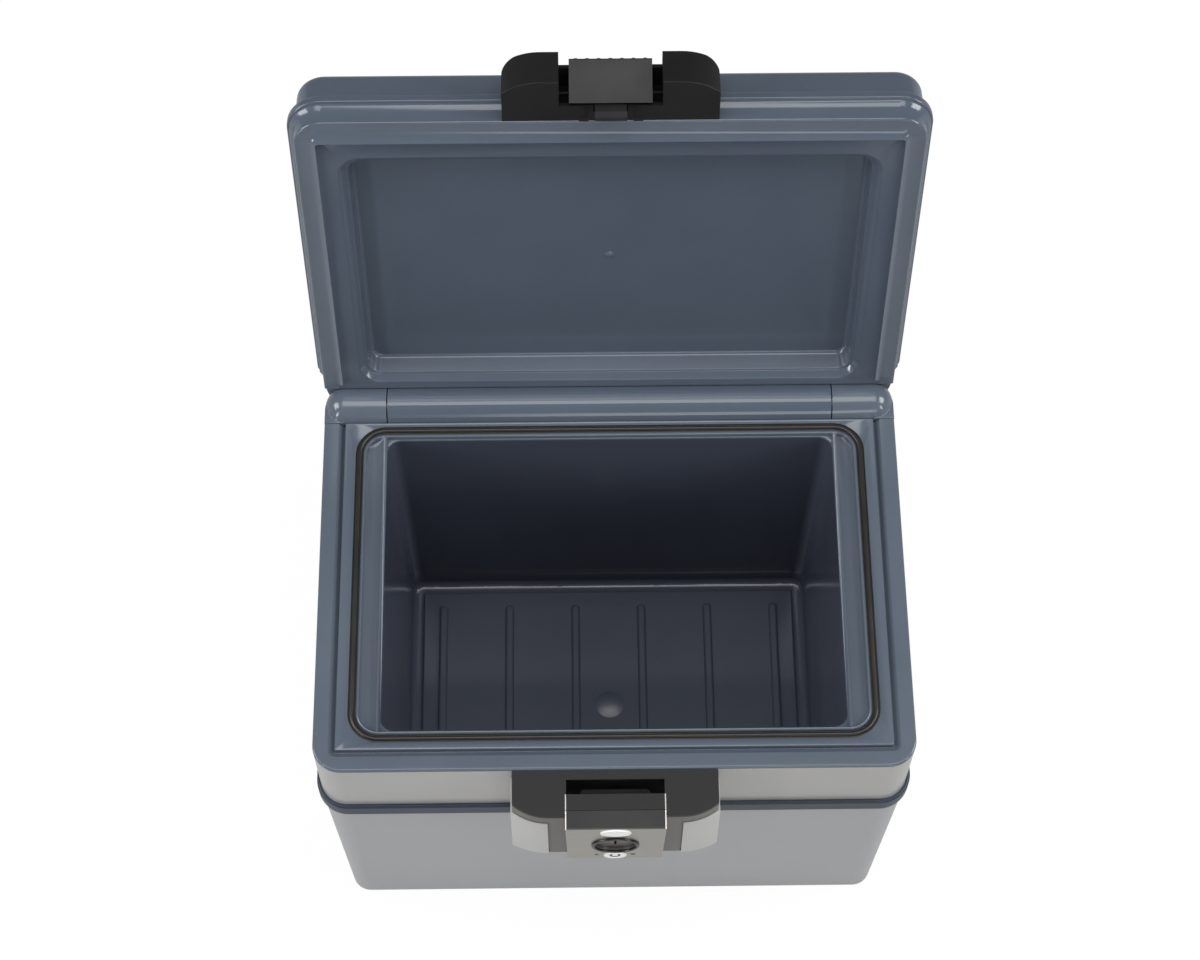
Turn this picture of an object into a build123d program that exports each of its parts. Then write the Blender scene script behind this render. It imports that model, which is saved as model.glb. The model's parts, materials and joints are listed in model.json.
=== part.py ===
from build123d import *
import os
from math import cos, hypot, radians, sin, tan

# A fire resistant document chest: a deep insulated body, a lid hinged at the back and shown open,
# a sprung thumb latch on the lid, and a key lock in a housing on the body's front.
# Millimetres. X runs to the right as the user sees it, Y to the back, Z up.
# The origin is the middle of the base.

# The body's outside
rim_width = 400.0
rim_depth = 288.0
rim_height = 278.0
rim_radius = 19.0
rim_edge_round = 1.5
soft_edge = 0.6
body_wall = 3.0
band_wall = 1.2
band_below_rim = 2.5
flange_proud = 2.8
flange_top_below_rim = 64.6
flange_height = 14.0
flange_round = 1.8
tub_proud = 0.4
tub_draft = 1.8
tub_foot_round = 5.0

# The opening in the body, from the rim inwards
groove_inset = 9.6
groove_width = 4.0
groove_depth = 6.4
groove_outer_radius = 6.5
groove_inner_radius = 2.5
gasket_side_inset = 22.6
gasket_front_inset = 20.2
gasket_back_inset = 32.8
gasket_radius = 21.0
gasket_width = 5.6
gasket_seat_depth = 4.0
gasket_proud = 0.9
gasket_round = 1.3
lip_wall = 2.2
ledge_depth = 4.0
opening_side_inset = 44.5
opening_front_inset = 30.0
opening_back_inset = 41.8
opening_radius = 9.0
opening_edge_round = 0.9
rail_width = 2.8
rail_height = 3.2

# The cavity
floor_thickness = 46.0
cavity_side_draft = 1.1
cavity_end_draft = 1.7
cavity_floor_round = 5.0
floor_margin = 8.5
floor_margin_depth = 2.0
floor_panel_round = 1.5
floor_rib_count = 6
floor_rib_pitch = 50.8
floor_rib_width = 6.6
floor_rib_height = 2.6
floor_rib_round = 2.2
floor_rib_back_gap = 27.0
gate_radius = 11.0
gate_depth = 1.6
gate_from_front = 63.0

# The hinge
barrel_radius = 15.0
hinge_drop = 4.5
barrel_end_inset = 44.5
hinge_end_gap = 0.8
hinge_gap = 0.6
hinge_pin_radius = 3.0
hinge_pin_gap = 0.05
hinge_pin_in_barrel = 10.0
hinge_pin_in_lug = 20.0
open_angle = 101.4

# The lid
lid_gap = 1.2
lid_height = 47.0
lid_wall = 3.0
lid_lip_low = 9.4
lid_lip_slope = 2.4
lid_lip_proud = 3.5
lid_flange_low = 14.2
lid_flange_top = 21.0
lid_flange_proud = 5.0
lid_flange_end = 15.0
lid_flange_low_round = 1.4
lid_flange_top_round = 2.4
lid_top_round = 8.0
tongue_side_gap = 0.6
tongue_height = 5.6
tongue_end = 18.0
tongue_round = 0.7
recess_side_inset = 26.0
recess_front_inset = 31.0
recess_back_from_hinge = 21.0
recess_radius = 16.0
recess_step_depth = 4.2
recess_step_inset = 3.2
recess_ledge_inset = 5.5
recess_depth = 17.5
recess_floor_inset = 8.0
recess_floor_round = 3.0
dome_radius = 4.0
dome_height = 1.3

# The two housings that meet at the front. Their front faces bulge towards the middle.
housing_half_width = 68.0
housing_side_proud = 23.3
housing_front_proud = 32.3
housing_flat_half = 44.0
housing_bottom_side_proud = 26.0
slot_half_width = 32.4

# The lid's latch housing, in heights above the rim when the lid is shut
latch_bottom = 2.0
latch_top = 29.6
latch_corner_round = 9.5
latch_skin = 3.0
latch_back_wall = 6.0
latch_strip = 12.3
latch_top_wall = 21.3
latch_edge_round = 0.5
guide_inner = 14.0
guide_outer = 20.0
guide_back = 9.6
guide_stem_width = 2.4
guide_tip = -8.6
guide_foot_height = 2.7

# The latch lever on its pin
pivot_proud = 15.0
pivot_height = 11.0
pivot_pin_radius = 1.5
pivot_pin_gap = 0.05
pivot_pin_in_wall = 4.0
lever_boss_radius = 3.3
paddle_half_width = 26.0
paddle_low = (14.5, 2.4)
paddle_root = (13.6, 6.0)
paddle_heel = (11.6, 12.5)
paddle_high = (30.0, 26.2)
paddle_hollow = 0.9
paddle_thickness = 4.4
paddle_tip_round = 1.2
grip_rib_count = 7
grip_rib_pitch = 7.25
grip_rib_width = 2.2
grip_rib_proud = 1.0
grip_rib_over_tip = 0.9
grip_rib_length = 12.0
hook_half_width = 10.0
hook_back = 9.9
hook_thickness = 2.7
hook_tip = -8.6
hook_nose = 3.0
hook_nose_height = 3.4
hook_side_gap = 0.8
hook_swing_gap = 2.4
spring_wire = 0.8
spring_inner_gap = 0.2
spring_room_gap = 0.35
spring_turns = 3.5
spring_half_length = 2.6
spring_side_gap = 1.1

# The body's lock housing, in heights above the rim, so mostly negative
lock_top = -1.5
lock_bottom = -74.0
lock_skin = 3.0
lock_cover_wall = 1.2
slot_back = 6.8
slot_front = 16.9
pad_top = -15.0
pad_bottom_gap = 1.5
pad_proud = 1.2
pad_glue = 0.05
pad_seam = 0.7
pad_seam_depth = 0.7
boss_radius = 4.0
boss_x = 54.0
boss_high = -16.0
boss_low = -50.0
screw_radius = 1.75
screw_head_radius = 3.4
screw_head_height = 2.2
screw_bite = 9.0
screw_recess_depth = 1.0

# The lock panel in the middle of it, whose face leans back towards its foot
panel_half_width = 33.2
panel_foot_half_width = 31.8
panel_gap = 0.1
panel_top_proud = 40.5
panel_face_top = -4.0
panel_lean = 2.9
panel_bottom = -73.5
panel_step_proud = 28.0
panel_step_drop = 0.8
panel_wall = 3.0
panel_end_wall = 1.5
panel_cover_wall = 0.8
panel_rib_back = 14.0
keeper_half_width = 23.0
keeper_reach = 3.6
keeper_depth = 13.0
keeper_thickness = 1.8

# The key lock, measured on the panel's leaning face
lock_height = -40.0
ring_outer = 16.0
ring_inner = 13.9
ring_proud = 1.6
barrel_body_radius = 15.0
barrel_neck_radius = 9.0
barrel_neck_start = 19.0
barrel_body_end = 27.7
barrel_nut_flat = 18.0
barrel_nut_height = 4.0
plug_radius = 13.3
plug_gap = 0.08
plug_sunk = 1.4
plug_length = 8.0
spindle_radius = 5.0
spindle_flat_radius = 4.0
spindle_gap = 0.08
key_slot_width = 1.6
key_slot_height = 9.0
key_slot_depth = 3.0
cam_start = 28.3
cam_thickness = 2.4
cam_hub_radius = 9.0
cam_toe_inner = 38.7
cam_toe_outer = 40.6
cam_arm_angle = 44.0
cam_arm_half_width = 3.5
cam_toe_start_angle = 25.0
cam_toe_end_angle = 49.0
key_turn = 90.0
lock_nut_radius = 6.5
lock_nut_height = 2.6
badge_half_width = 10.2
badge_half_height = 6.7
badge_below_top = 7.2
badge_proud = 1.2
dot_radius = 7.7
dot_below_lock = 25.5
dot_proud = 0.4

# Places worked out from the sizes above
rear = rim_depth / 2
hinge_y = rear - barrel_radius
hinge_z = rim_height - hinge_drop
mate_z = rim_height + lid_gap
flange_top = rim_height - flange_top_below_rim
flange_low = flange_top - flange_height
floor_z = floor_thickness
margin_z = floor_z - floor_margin_depth
ledge_z = rim_height - ledge_depth
opening_half_width = rim_width / 2 - opening_side_inset
barrel_half_length = rim_width / 2 - barrel_end_inset
pivot_y = -rear - pivot_proud
pivot_z = rim_height + pivot_height
panel_slope = tan(radians(panel_lean))
trough_radius = barrel_radius + hinge_gap
# The open lid's back wall comes to rest along this slope, just above the body's back edge
stop_rise = tan(radians(open_angle - 90))
stop_z = hinge_z - trough_radius


def front(proud):
    """The y of a point that stands this far in front of the body's front face."""
    return -rear - proud


def outline(grow, z):
    """The rim's outline, grown outwards all round, at a height."""
    sketch = RectangleRounded(rim_width + 2 * grow, rim_depth + 2 * grow, rim_radius + grow)
    return Plane.XY.offset(z) * sketch


def block(grow, z_low, z_high):
    return extrude(outline(grow, z_low), amount=z_high - z_low)


def tapered_block(grow_low, z_low, grow_high, z_high):
    return loft([outline(grow_low, z_low), outline(grow_high, z_high)])


def box(x0, x1, y0, y1, z0, z1):
    middle = Pos((x0 + x1) / 2, (y0 + y1) / 2, (z0 + z1) / 2)
    return middle * Box(x1 - x0, y1 - y0, z1 - z0)


def rectangle_at(half_x, y0, y1, radius, z):
    """A rounded rectangle between two y values, at a height."""
    sketch = Pos(0, (y0 + y1) / 2) * RectangleRounded(2 * half_x, y1 - y0, radius)
    return Plane.XY.offset(z) * sketch


def rod_x(radius, x0, x1, y, z):
    return Pos((x0 + x1) / 2, y, z) * Rot(0, 90, 0) * Cylinder(radius, abs(x1 - x0))


def side_profile(points):
    """A face in the plane across the body from front to back, from (y, z) points."""
    return Plane.YZ * make_face(Polyline(*points, close=True))


def both_sides(part):
    return part + mirror(part, about=Plane.YZ)


def hinge_circle(radius):
    return Plane.YZ * (Pos(hinge_y, hinge_z) * Circle(radius))


def across(profile, half_x):
    return extrude(profile, amount=half_x, both=True)


def stop_slope(y, drop):
    """The height of the slope that the open lid rests along, lowered by a drop."""
    return stop_z - drop - (y - hinge_y) * stop_rise


def body_side(drop, trough):
    """The body seen from its side: flat to the hinge, then down the stop slope behind it."""
    far = rear + 20
    points = [(-far, -1), (-far, rim_height - drop), (hinge_y, rim_height - drop),
              (hinge_y, stop_slope(hinge_y, drop)), (far, stop_slope(far, drop)), (far, -1)]
    return side_profile(points) - hinge_circle(trough + drop)


def body_envelope(drop=0.0):
    """Everything the body may fill, cut away for the lid's barrel and back wall."""
    return across(body_side(drop, trough_radius), rim_width)


def groove_outline(inset, radius, z):
    """The rim's outline drawn inwards, with tighter corners."""
    sketch = RectangleRounded(rim_width - 2 * inset, rim_depth - 2 * inset, radius)
    return Plane.XY.offset(z) * sketch


def behind(y, z0, z1):
    return box(-rim_width, rim_width, y, 2 * rim_depth, z0 - 1, z1 + 1)


def groove_ring(grow, z0, z1, end_y):
    """A wall that follows the rim along the front and both sides, and stops before the hinge."""
    outer = groove_outline(groove_inset - grow, groove_outer_radius + grow, z0)
    corner = groove_inner_radius - min(grow, 0)
    inner = groove_outline(groove_inset + groove_width + grow, corner, z0)
    return extrude(outer - inner, amount=z1 - z0) - behind(end_y, z0, z1)


def groove_flare(end_y):
    """Softens the groove's two edges where it opens onto the rim."""
    low, top = rim_height - soft_edge, rim_height
    outer = loft([groove_outline(groove_inset, groove_outer_radius, low),
                  groove_outline(groove_inset - soft_edge, groove_outer_radius + soft_edge, top)])
    inside = groove_inset + groove_width
    inner = loft([groove_outline(inside, groove_inner_radius, low),
                  groove_outline(inside + soft_edge, groove_inner_radius - soft_edge, top)])
    return outer - inner - behind(end_y, low, top)


# The openings in the top of the body

def gasket_rectangle(inset, z):
    y0 = -rear + gasket_front_inset + inset
    y1 = rear - gasket_back_inset - inset
    half_x = rim_width / 2 - gasket_side_inset - inset
    return rectangle_at(half_x, y0, y1, gasket_radius - inset, z)


def gasket_ring(z0, z1):
    outer = extrude(gasket_rectangle(0, z0), amount=z1 - z0)
    inner = extrude(gasket_rectangle(gasket_width, z0), amount=z1 - z0)
    return outer - inner


def ledge_block(z0, z1):
    """The step inside the gasket's lip, with its top edge softened."""
    inset = gasket_width + lip_wall
    step = extrude(gasket_rectangle(inset, z0), amount=z1 - z0)
    return step + loft([gasket_rectangle(inset, rim_height - soft_edge),
                        gasket_rectangle(inset - soft_edge, rim_height)])


def cavity_section(grow, z):
    """The cavity's outline at a height, with draft on its four walls."""
    down = ledge_z - z
    side = down * tan(radians(cavity_side_draft)) - grow
    end = down * tan(radians(cavity_end_draft)) - grow
    y0 = -rear + opening_front_inset + end
    y1 = rear - opening_back_inset - end
    return rectangle_at(opening_half_width - side, y0, y1, opening_radius + grow, z)


def cavity(grow, z_floor, z_top, floor_round):
    space = loft([cavity_section(grow, z_floor), cavity_section(grow, z_top)])
    return fillet(space.edges().group_by(Axis.Z)[0], floor_round)


def opening_flare():
    """Softens the edge where the cavity opens onto the ledge."""
    low = cavity_section(0, ledge_z - opening_edge_round)
    return loft([low, cavity_section(opening_edge_round, ledge_z)])


def floor_panel():
    """The raised middle of the floor, with ribs that run back from the front and have round ends."""
    panel = extrude(cavity_section(-floor_margin, margin_z), amount=floor_margin_depth)
    panel = fillet(panel.edges().group_by(Axis.Z)[-1], floor_panel_round)
    y0 = -rear + opening_front_inset + floor_margin
    y1 = rear - opening_back_inset - floor_rib_back_gap
    span = y1 - y0
    for i in range(floor_rib_count):
        x = (i - (floor_rib_count - 1) / 2) * floor_rib_pitch
        strip = Pos(x, (y0 + y1) / 2) * SlotOverall(span, floor_rib_width, rotation=90)
        rib = extrude(Plane.XY.offset(margin_z) * strip, amount=floor_margin_depth + floor_rib_height)
        panel += fillet(rib.edges().group_by(Axis.Z)[-1], floor_rib_round)
    dish = (gate_radius ** 2 + gate_depth ** 2) / (2 * gate_depth)
    gate_y = -rear + opening_front_inset + gate_from_front
    return panel - Pos(0, gate_y, floor_z - gate_depth + dish) * Sphere(dish)


# The body's own pieces

def make_core():
    """The space for the fill inside the body's walls, before the cavity is taken out of it."""
    upper = block(-band_wall - body_wall, flange_low, rim_height - body_wall)
    upper = upper & body_envelope(body_wall)
    foot = tub_proud - (flange_low - body_wall) * tan(radians(tub_draft)) - body_wall
    lower = tapered_block(foot, body_wall, tub_proud - body_wall, flange_low)
    core = upper + lower
    core -= groove_ring(body_wall, rim_height - groove_depth - body_wall, rim_height, rim_depth)
    inner_zone = extrude(gasket_rectangle(-body_wall, rim_height - ledge_depth - body_wall),
                         amount=ledge_depth + body_wall)
    return core - inner_zone


def bucket():
    return cavity(body_wall, margin_z - body_wall, ledge_z, cavity_floor_round + body_wall)


def make_insulation(core):
    return core - bucket() - both_sides(lug())


def lug():
    """The fixed hinge knuckle at one corner: a rod with a ball end that grows out of the corner."""
    x0 = barrel_half_length + hinge_end_gap
    x1 = rim_width / 2 - barrel_radius
    knuckle = rod_x(barrel_radius, x0, x1, hinge_y, hinge_z)
    knuckle += Pos(x1, hinge_y, hinge_z) * Sphere(barrel_radius)
    rod = rod_x(barrel_radius, x0, rim_width / 2, hinge_y, hinge_z)
    corner = rod & block(0, rim_height - band_below_rim, rim_height)
    below = rod + box(x0, rim_width / 2, hinge_y - barrel_radius, hinge_y + 1, stop_z - body_wall, hinge_z)
    return knuckle + corner + (below & block(-band_wall, 0, rim_height - band_below_rim))


def hinge_pin(grow=0.0):
    x0 = barrel_half_length - hinge_pin_in_barrel
    x1 = barrel_half_length + hinge_end_gap + hinge_pin_in_lug
    return rod_x(hinge_pin_radius + grow, x0, x1, hinge_y, hinge_z)


def make_deck_liner(core):
    """The top moulding: rim, grooves, knuckles and the deep pocket that holds the papers."""
    plate = block(0, rim_height - band_below_rim, rim_height)
    plate = fillet(plate.edges().group_by(Axis.Z)[-1], rim_edge_round)
    skirt = block(-band_wall, flange_top, rim_height - band_below_rim)
    liner = ((plate + skirt) & body_envelope()) - core
    liner += bucket()
    liner += both_sides(lug())
    liner -= ledge_block(ledge_z, rim_height)
    liner -= cavity(0, margin_z, ledge_z + 1, cavity_floor_round)
    liner += floor_panel()
    liner -= opening_flare()
    groove_end = hinge_y - barrel_radius
    liner -= groove_ring(0, rim_height - groove_depth, rim_height + 1, groove_end)
    liner -= groove_flare(groove_end)
    liner -= gasket_ring(rim_height - gasket_seat_depth, rim_height + 1)
    rail = box(opening_half_width, opening_half_width + rail_width,
               -rear + gasket_front_inset + gasket_width + lip_wall,
               rear - gasket_back_inset - gasket_width - lip_wall,
               ledge_z - opening_edge_round, ledge_z + rail_height)
    liner += both_sides(rail)
    return liner - both_sides(hinge_pin())


def make_gasket():
    """A rubber bead in its seat, rounded on top."""
    bead = gasket_ring(rim_height - gasket_seat_depth, rim_height + gasket_proud)
    return fillet(bead.edges().group_by(Axis.Z)[-1], gasket_round)


def make_upper_band():
    """The painted band between the rim and the flange."""
    band = block(0, flange_top, rim_height - band_below_rim)
    band -= block(-band_wall, flange_top, rim_height - band_below_rim)
    return band & body_envelope()


def make_flange_collar():
    collar = block(flange_proud, flange_low, flange_top)
    edges = collar.edges().group_by(Axis.Z)
    collar = fillet(edges[0] + edges[-1], flange_round)
    return collar - block(-band_wall - body_wall, flange_low, flange_top)


def tub_grow(z):
    return tub_proud - (flange_low - z) * tan(radians(tub_draft))


def make_lower_tub():
    """The lower shell, which narrows towards the foot."""
    tub = tapered_block(tub_grow(0), 0, tub_proud, flange_low)
    tub = fillet(tub.edges().group_by(Axis.Z)[0], tub_foot_round)
    foot = tub_grow(body_wall) - body_wall
    return tub - tapered_block(foot, body_wall, tub_proud - body_wall, flange_low)


# The housings' shared plan

def bulged_plan(side_proud, front_proud, inset, z):
    """The housings seen from above: square sides and a front that bulges to a flat middle."""
    side_x = housing_half_width - inset
    side_y = front(side_proud - inset)
    flat_y = front(front_proud - inset)
    back_y = front(0)
    right = (side_x, side_y)
    left = (-side_x, side_y)
    edges = Line((-side_x, back_y), left)
    edges += TangentArc((-housing_flat_half, flat_y), left, tangent=(-1, 0))
    edges += Line((-housing_flat_half, flat_y), (housing_flat_half, flat_y))
    edges += TangentArc((housing_flat_half, flat_y), right, tangent=(1, 0))
    edges += Line(right, (side_x, back_y))
    edges += Line((side_x, back_y), (-side_x, back_y))
    return Plane.XY.offset(z) * make_face(edges)


def straight_housing(inset, z0, z1):
    plan = bulged_plan(housing_side_proud, housing_front_proud, inset, z0)
    return extrude(plan, amount=z1 - z0)


# The body's lock housing

def lock_form(inset, z0, z1):
    """The lock housing's form between two heights. It grows fuller at its sides towards its foot."""
    top, bottom = rim_height + lock_top, rim_height + lock_bottom

    def plan(z):
        share = (top - z) / (top - bottom)
        side = housing_side_proud + share * (housing_bottom_side_proud - housing_side_proud)
        return bulged_plan(side, housing_front_proud, inset, z)

    return loft([plan(z0), plan(z1)])


def body_blank():
    """The body's outside as one solid, to seat the lock housing on."""
    blank = block(0, flange_top, rim_height + 5)
    blank += block(flange_proud, flange_low, flange_top)
    blank += tapered_block(tub_grow(0), 0, tub_proud, flange_low)
    return blank


def screw_spots():
    return [(side * boss_x, z) for side in (-1, 1) for z in (boss_high, boss_low)]


def rod_y(radius, x, y0, y1, z):
    return Pos(x, (y0 + y1) / 2, z) * Rot(90, 0, 0) * Cylinder(radius, abs(y1 - y0))


def body_screw(x, z):
    """A screw put in from inside the body's wall, before the fill goes in."""
    inside = band_wall + body_wall
    height = rim_height + z
    shaft = rod_y(screw_radius, x, front(-inside - 0.1), front(screw_bite), height)
    head = rod_y(screw_head_radius, x, front(-inside - screw_head_height), front(-inside), height)
    recess = rod_y(screw_radius, x, front(-inside - screw_head_height),
                   front(-inside - screw_head_height + screw_recess_depth), height)
    return shaft + head - recess


def panel_face_y(z):
    """Where the lock panel's leaning face is, at a height above the rim."""
    return front(panel_top_proud - (panel_face_top - z) * panel_slope)


def panel_side(face_inset, end_inset, back):
    """The lock panel seen from its side, with its stepped, sloping top and its leaning face."""
    top = rim_height + lock_top - end_inset
    step = top - panel_step_drop
    crest = rim_height + panel_face_top - end_inset
    foot = rim_height + panel_bottom + end_inset
    points = [(front(back), top), (front(panel_step_proud), top), (front(panel_step_proud), step),
              (panel_face_y(crest - rim_height) + face_inset, crest),
              (panel_face_y(foot - rim_height) + face_inset, foot), (front(back), foot)]
    return side_profile(points)


def panel_front_view(inset):
    """The lock panel seen from the front, a little narrower at its foot."""
    top, foot = rim_height + 1, rim_height + panel_bottom - 2
    wide, narrow = panel_half_width - inset, panel_foot_half_width - inset
    face = make_face(Polyline((-wide, top), (wide, top), (narrow, foot), (-narrow, foot), close=True))
    return extrude(Plane.XZ * face, amount=rim_depth, both=True)


def panel_form(side_inset, end_inset, back):
    return across(panel_side(side_inset, end_inset, back), rim_width) & panel_front_view(side_inset)


def panel_room():
    """The gap in the housing's front where the panel stands, and the latch slot behind it."""
    tall = box(-rim_width, rim_width, front(housing_front_proud + 5), front(slot_front),
               rim_height + lock_bottom - 1, rim_height + 1)
    slot = box(-slot_half_width, slot_half_width, front(slot_front + 0.1), front(slot_back),
               rim_height + lock_top - lock_skin - 1, rim_height + 1)
    return (tall & panel_front_view(-panel_gap)) + slot


def make_lock_housing():
    top, bottom = rim_height + lock_top, rim_height + lock_bottom
    cap = lock_form(0, top - lock_skin, top)
    walls = lock_form(lock_cover_wall, bottom, top - lock_skin)
    hollow = lock_form(lock_cover_wall + lock_skin, bottom + lock_skin, top - lock_skin)
    housing = cap + walls - hollow - panel_room()
    for x, z in screw_spots():
        housing += rod_y(boss_radius, x, front(0), front(housing_front_proud), rim_height + z) & \
            lock_form(lock_cover_wall, bottom, top - lock_skin)
    cheek = panel_half_width + panel_gap
    housing += both_sides(box(cheek, cheek + lock_skin, front(housing_front_proud - 3),
                              front(panel_rib_back), bottom, top - lock_skin))
    housing -= body_blank()
    for x, z in screw_spots():
        housing -= rod_y(screw_radius, x, front(-1), front(screw_bite), rim_height + z)
    return housing


def make_lock_cover():
    """The thin skin round the lock housing's sides and front, with a groove round each pad."""
    top, bottom = rim_height + lock_top - lock_skin, rim_height + lock_bottom
    skin = lock_form(0, bottom, top) - lock_form(lock_cover_wall, bottom - 1, top + 1)
    pad_x, pad_z = housing_flat_half + pad_seam, rim_height + pad_top
    far = front(housing_front_proud + 10)
    seam = box(pad_x - pad_seam, pad_x, far, front(0), bottom + pad_bottom_gap, pad_z + pad_seam)
    seam += box(pad_x, rim_width, far, front(0), pad_z, pad_z + pad_seam)
    seam = both_sides(seam) - lock_form(pad_seam_depth, bottom - 1, top + 1)
    return skin - seam - panel_room() - body_blank()


def make_pads():
    """A raised pad glued on each bulged end of the cover."""
    form_top, form_bottom = rim_height + lock_top - lock_skin, rim_height + lock_bottom
    pads = lock_form(-pad_proud, form_bottom, form_top) - lock_form(-pad_glue, form_bottom, form_top)
    middle = housing_flat_half + pad_seam
    ends = box(middle, rim_width, front(housing_front_proud + 10), front(0),
               form_bottom + pad_bottom_gap, rim_height + pad_top)
    return (pads & both_sides(ends)) - body_blank()


def make_lock_panel():
    """The black core of the middle panel: a cup open to the back, with the lock's hole in its face."""
    core = panel_form(panel_cover_wall, 0, slot_front)
    inside = panel_cover_wall + panel_wall
    core -= panel_form(inside, panel_end_wall, slot_front - 1)
    return core - disc(barrel_body_radius, -5, inside + 2)


def make_panel_cover():
    """The bright skin over the panel's face and down both of its sides."""
    skin = panel_form(0, 0, slot_front) - panel_form(panel_cover_wall, -5, slot_front - 1)
    return skin - disc(barrel_body_radius, -5, 5)


def make_keeper():
    """The plate under the panel's top edge that the latch hook catches on."""
    top = rim_height + lock_top - panel_end_wall
    y0 = front(slot_front - keeper_reach + keeper_depth)
    y1 = front(slot_front - keeper_reach)
    plate = box(-keeper_half_width, keeper_half_width, y0, y1, top - keeper_thickness, top)
    corners = plate.edges().filter_by(Axis.Z).sort_by(Axis.Y)[-2:]
    return fillet(corners, 2.5)


# The key lock. Its frame sits on the panel's face, with Z pointing out of it.

def lock_frame():
    lean = radians(panel_lean)
    origin = (0, panel_face_y(lock_height), rim_height + lock_height)
    return Plane(origin=origin, x_dir=(1, 0, 0), z_dir=(0, -cos(lean), -sin(lean)))


def on_face(u, s, depth):
    """A place on the panel's face: across, up, and in from it."""
    return lock_frame() * Pos(u, s, -depth)


def disc(radius, d0, d1, u=0.0, s=0.0):
    return on_face(u, s, (d0 + d1) / 2) * Cylinder(radius, abs(d1 - d0))


def make_ring():
    ring = disc(ring_outer, -ring_proud, 0) - disc(ring_inner, -ring_proud - 1, 1)
    rims = ring.edges().filter_by(GeomType.CIRCLE).sort_by(lambda e: e.center().Y)[:2]
    return fillet(rims, 0.7)


def make_lock_barrel():
    """The fixed lock body that the plug turns in. It goes through the panel's face."""
    barrel = disc(barrel_body_radius, 0, barrel_neck_start)
    barrel += disc(barrel_neck_radius, barrel_neck_start, barrel_body_end)
    barrel -= disc(plug_radius + plug_gap, -1, plug_sunk + plug_length)
    return barrel - disc(spindle_radius + spindle_gap, 0, barrel_body_end + 1)


def make_barrel_nut():
    """The ring nut that clamps the lock body behind the panel's face."""
    start = panel_cover_wall + panel_wall
    flats = RegularPolygon(barrel_nut_flat, 6, major_radius=False)
    nut = extrude(on_face(0, 0, start + barrel_nut_height) * flats, amount=barrel_nut_height)
    return nut - disc(barrel_body_radius, start - 1, start + barrel_nut_height + 1)


def make_key_plug():
    """The turning plug with its key slot, and the spindle that carries the cam."""
    end = plug_sunk + plug_length - 0.2
    plug = disc(plug_radius, plug_sunk, end)
    rim = plug.edges().filter_by(GeomType.CIRCLE).sort_by(Axis.Y)[0]
    plug = fillet(rim, 0.6)
    plug += disc(spindle_radius, end, cam_start)
    plug += disc(spindle_flat_radius, cam_start, cam_start + cam_thickness + lock_nut_height)
    slot = on_face(0, 0, plug_sunk) * Box(key_slot_width, key_slot_height, 2 * key_slot_depth)
    return plug - slot


def sector(r0, r1, a0, a1, d0, d1):
    """Part of a flat ring, with its angles measured clockwise from straight up."""
    def spot(r, a):
        return (r * sin(radians(a)), r * cos(radians(a)))
    middle = (a0 + a1) / 2
    edges = ThreePointArc(spot(r1, a0), spot(r1, middle), spot(r1, a1))
    edges += Line(spot(r1, a1), spot(r0, a1))
    edges += ThreePointArc(spot(r0, a1), spot(r0, middle), spot(r0, a0))
    edges += Line(spot(r0, a0), spot(r1, a0))
    return extrude(on_face(0, 0, d1) * make_face(edges), amount=d1 - d0)


def make_cam():
    """The lock's hooked cam, turned away from the lid's right guide, so that the lid is free."""
    d0, d1 = cam_start, cam_start + cam_thickness
    cam = disc(cam_hub_radius, d0, d1)
    reach = cam_toe_inner + 1
    arm = Rot(0, 0, -cam_arm_angle) * Pos(0, reach / 2) * Rectangle(2 * cam_arm_half_width, reach)
    cam += extrude(on_face(0, 0, d1) * arm, amount=d1 - d0)
    cam += sector(cam_toe_inner, cam_toe_outer, cam_toe_start_angle, cam_toe_end_angle, d0, d1)
    cam -= disc(spindle_flat_radius, d0 - 1, d1 + 1)
    return turned_about_lock(cam, -key_turn)


def turned_about_lock(part, angle):
    """A part turned about the key's axis, seen from the front: negative is clockwise."""
    frame = lock_frame().location
    return frame * Rot(0, 0, angle) * frame.inverse() * part


def make_cam_nut():
    start = cam_start + cam_thickness
    nut = extrude(on_face(0, 0, start + lock_nut_height) * RegularPolygon(lock_nut_radius, 6),
                  amount=lock_nut_height)
    return nut - disc(spindle_flat_radius, start - 1, start + lock_nut_height + 1)


def make_badge():
    """A bare oval plate, proud of the panel's face."""
    s = panel_face_top - lock_height - badge_below_top
    oval = Ellipse(badge_half_width, badge_half_height)
    plate = extrude(on_face(0, s, 0) * oval, amount=badge_proud)
    top = plate.edges().sort_by(Axis.Y)[0]
    return fillet(top, 0.5)


def make_dot():
    """The round white mark below the key."""
    return disc(dot_radius, -dot_proud, 0, 0, -dot_below_lock)


# The lid, modelled shut and then swung open

def lid_side(drop, circle):
    """The lid seen from its side, cut away round the fixed knuckles."""
    low = mate_z + drop
    points = [(-rear - 30, low), (-rear - 30, mate_z + lid_height + 5),
              (rear + 30, mate_z + lid_height + 5), (rear + 30, low)]
    return side_profile(points) - hinge_circle(circle)


def lid_flange_cut():
    """Behind this the lid has no flange, to clear the body as it opens. The flange's ends slant in."""
    y = hinge_y - lid_flange_end
    far = lid_flange_proud + 1
    half = rim_width / 2
    points = [(half - 1, y), (half + far, y - far), (half + far, rim_depth), (-half - far, rim_depth),
              (-half - far, y - far), (1 - half, y)]
    wedge = make_face(Polyline(*points, close=True))
    cut = extrude(Plane.XY.offset(mate_z) * wedge, amount=lid_height)
    return cut - block(0, mate_z, mate_z + lid_height)


def lid_lip():
    """The lip under the flange, which slopes out of the lid's skirt."""
    low = mate_z + lid_lip_low
    slope = tapered_block(0, low, lid_lip_proud, low + lid_lip_slope)
    return slope + block(lid_lip_proud, low + lid_lip_slope, mate_z + lid_flange_low)


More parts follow.
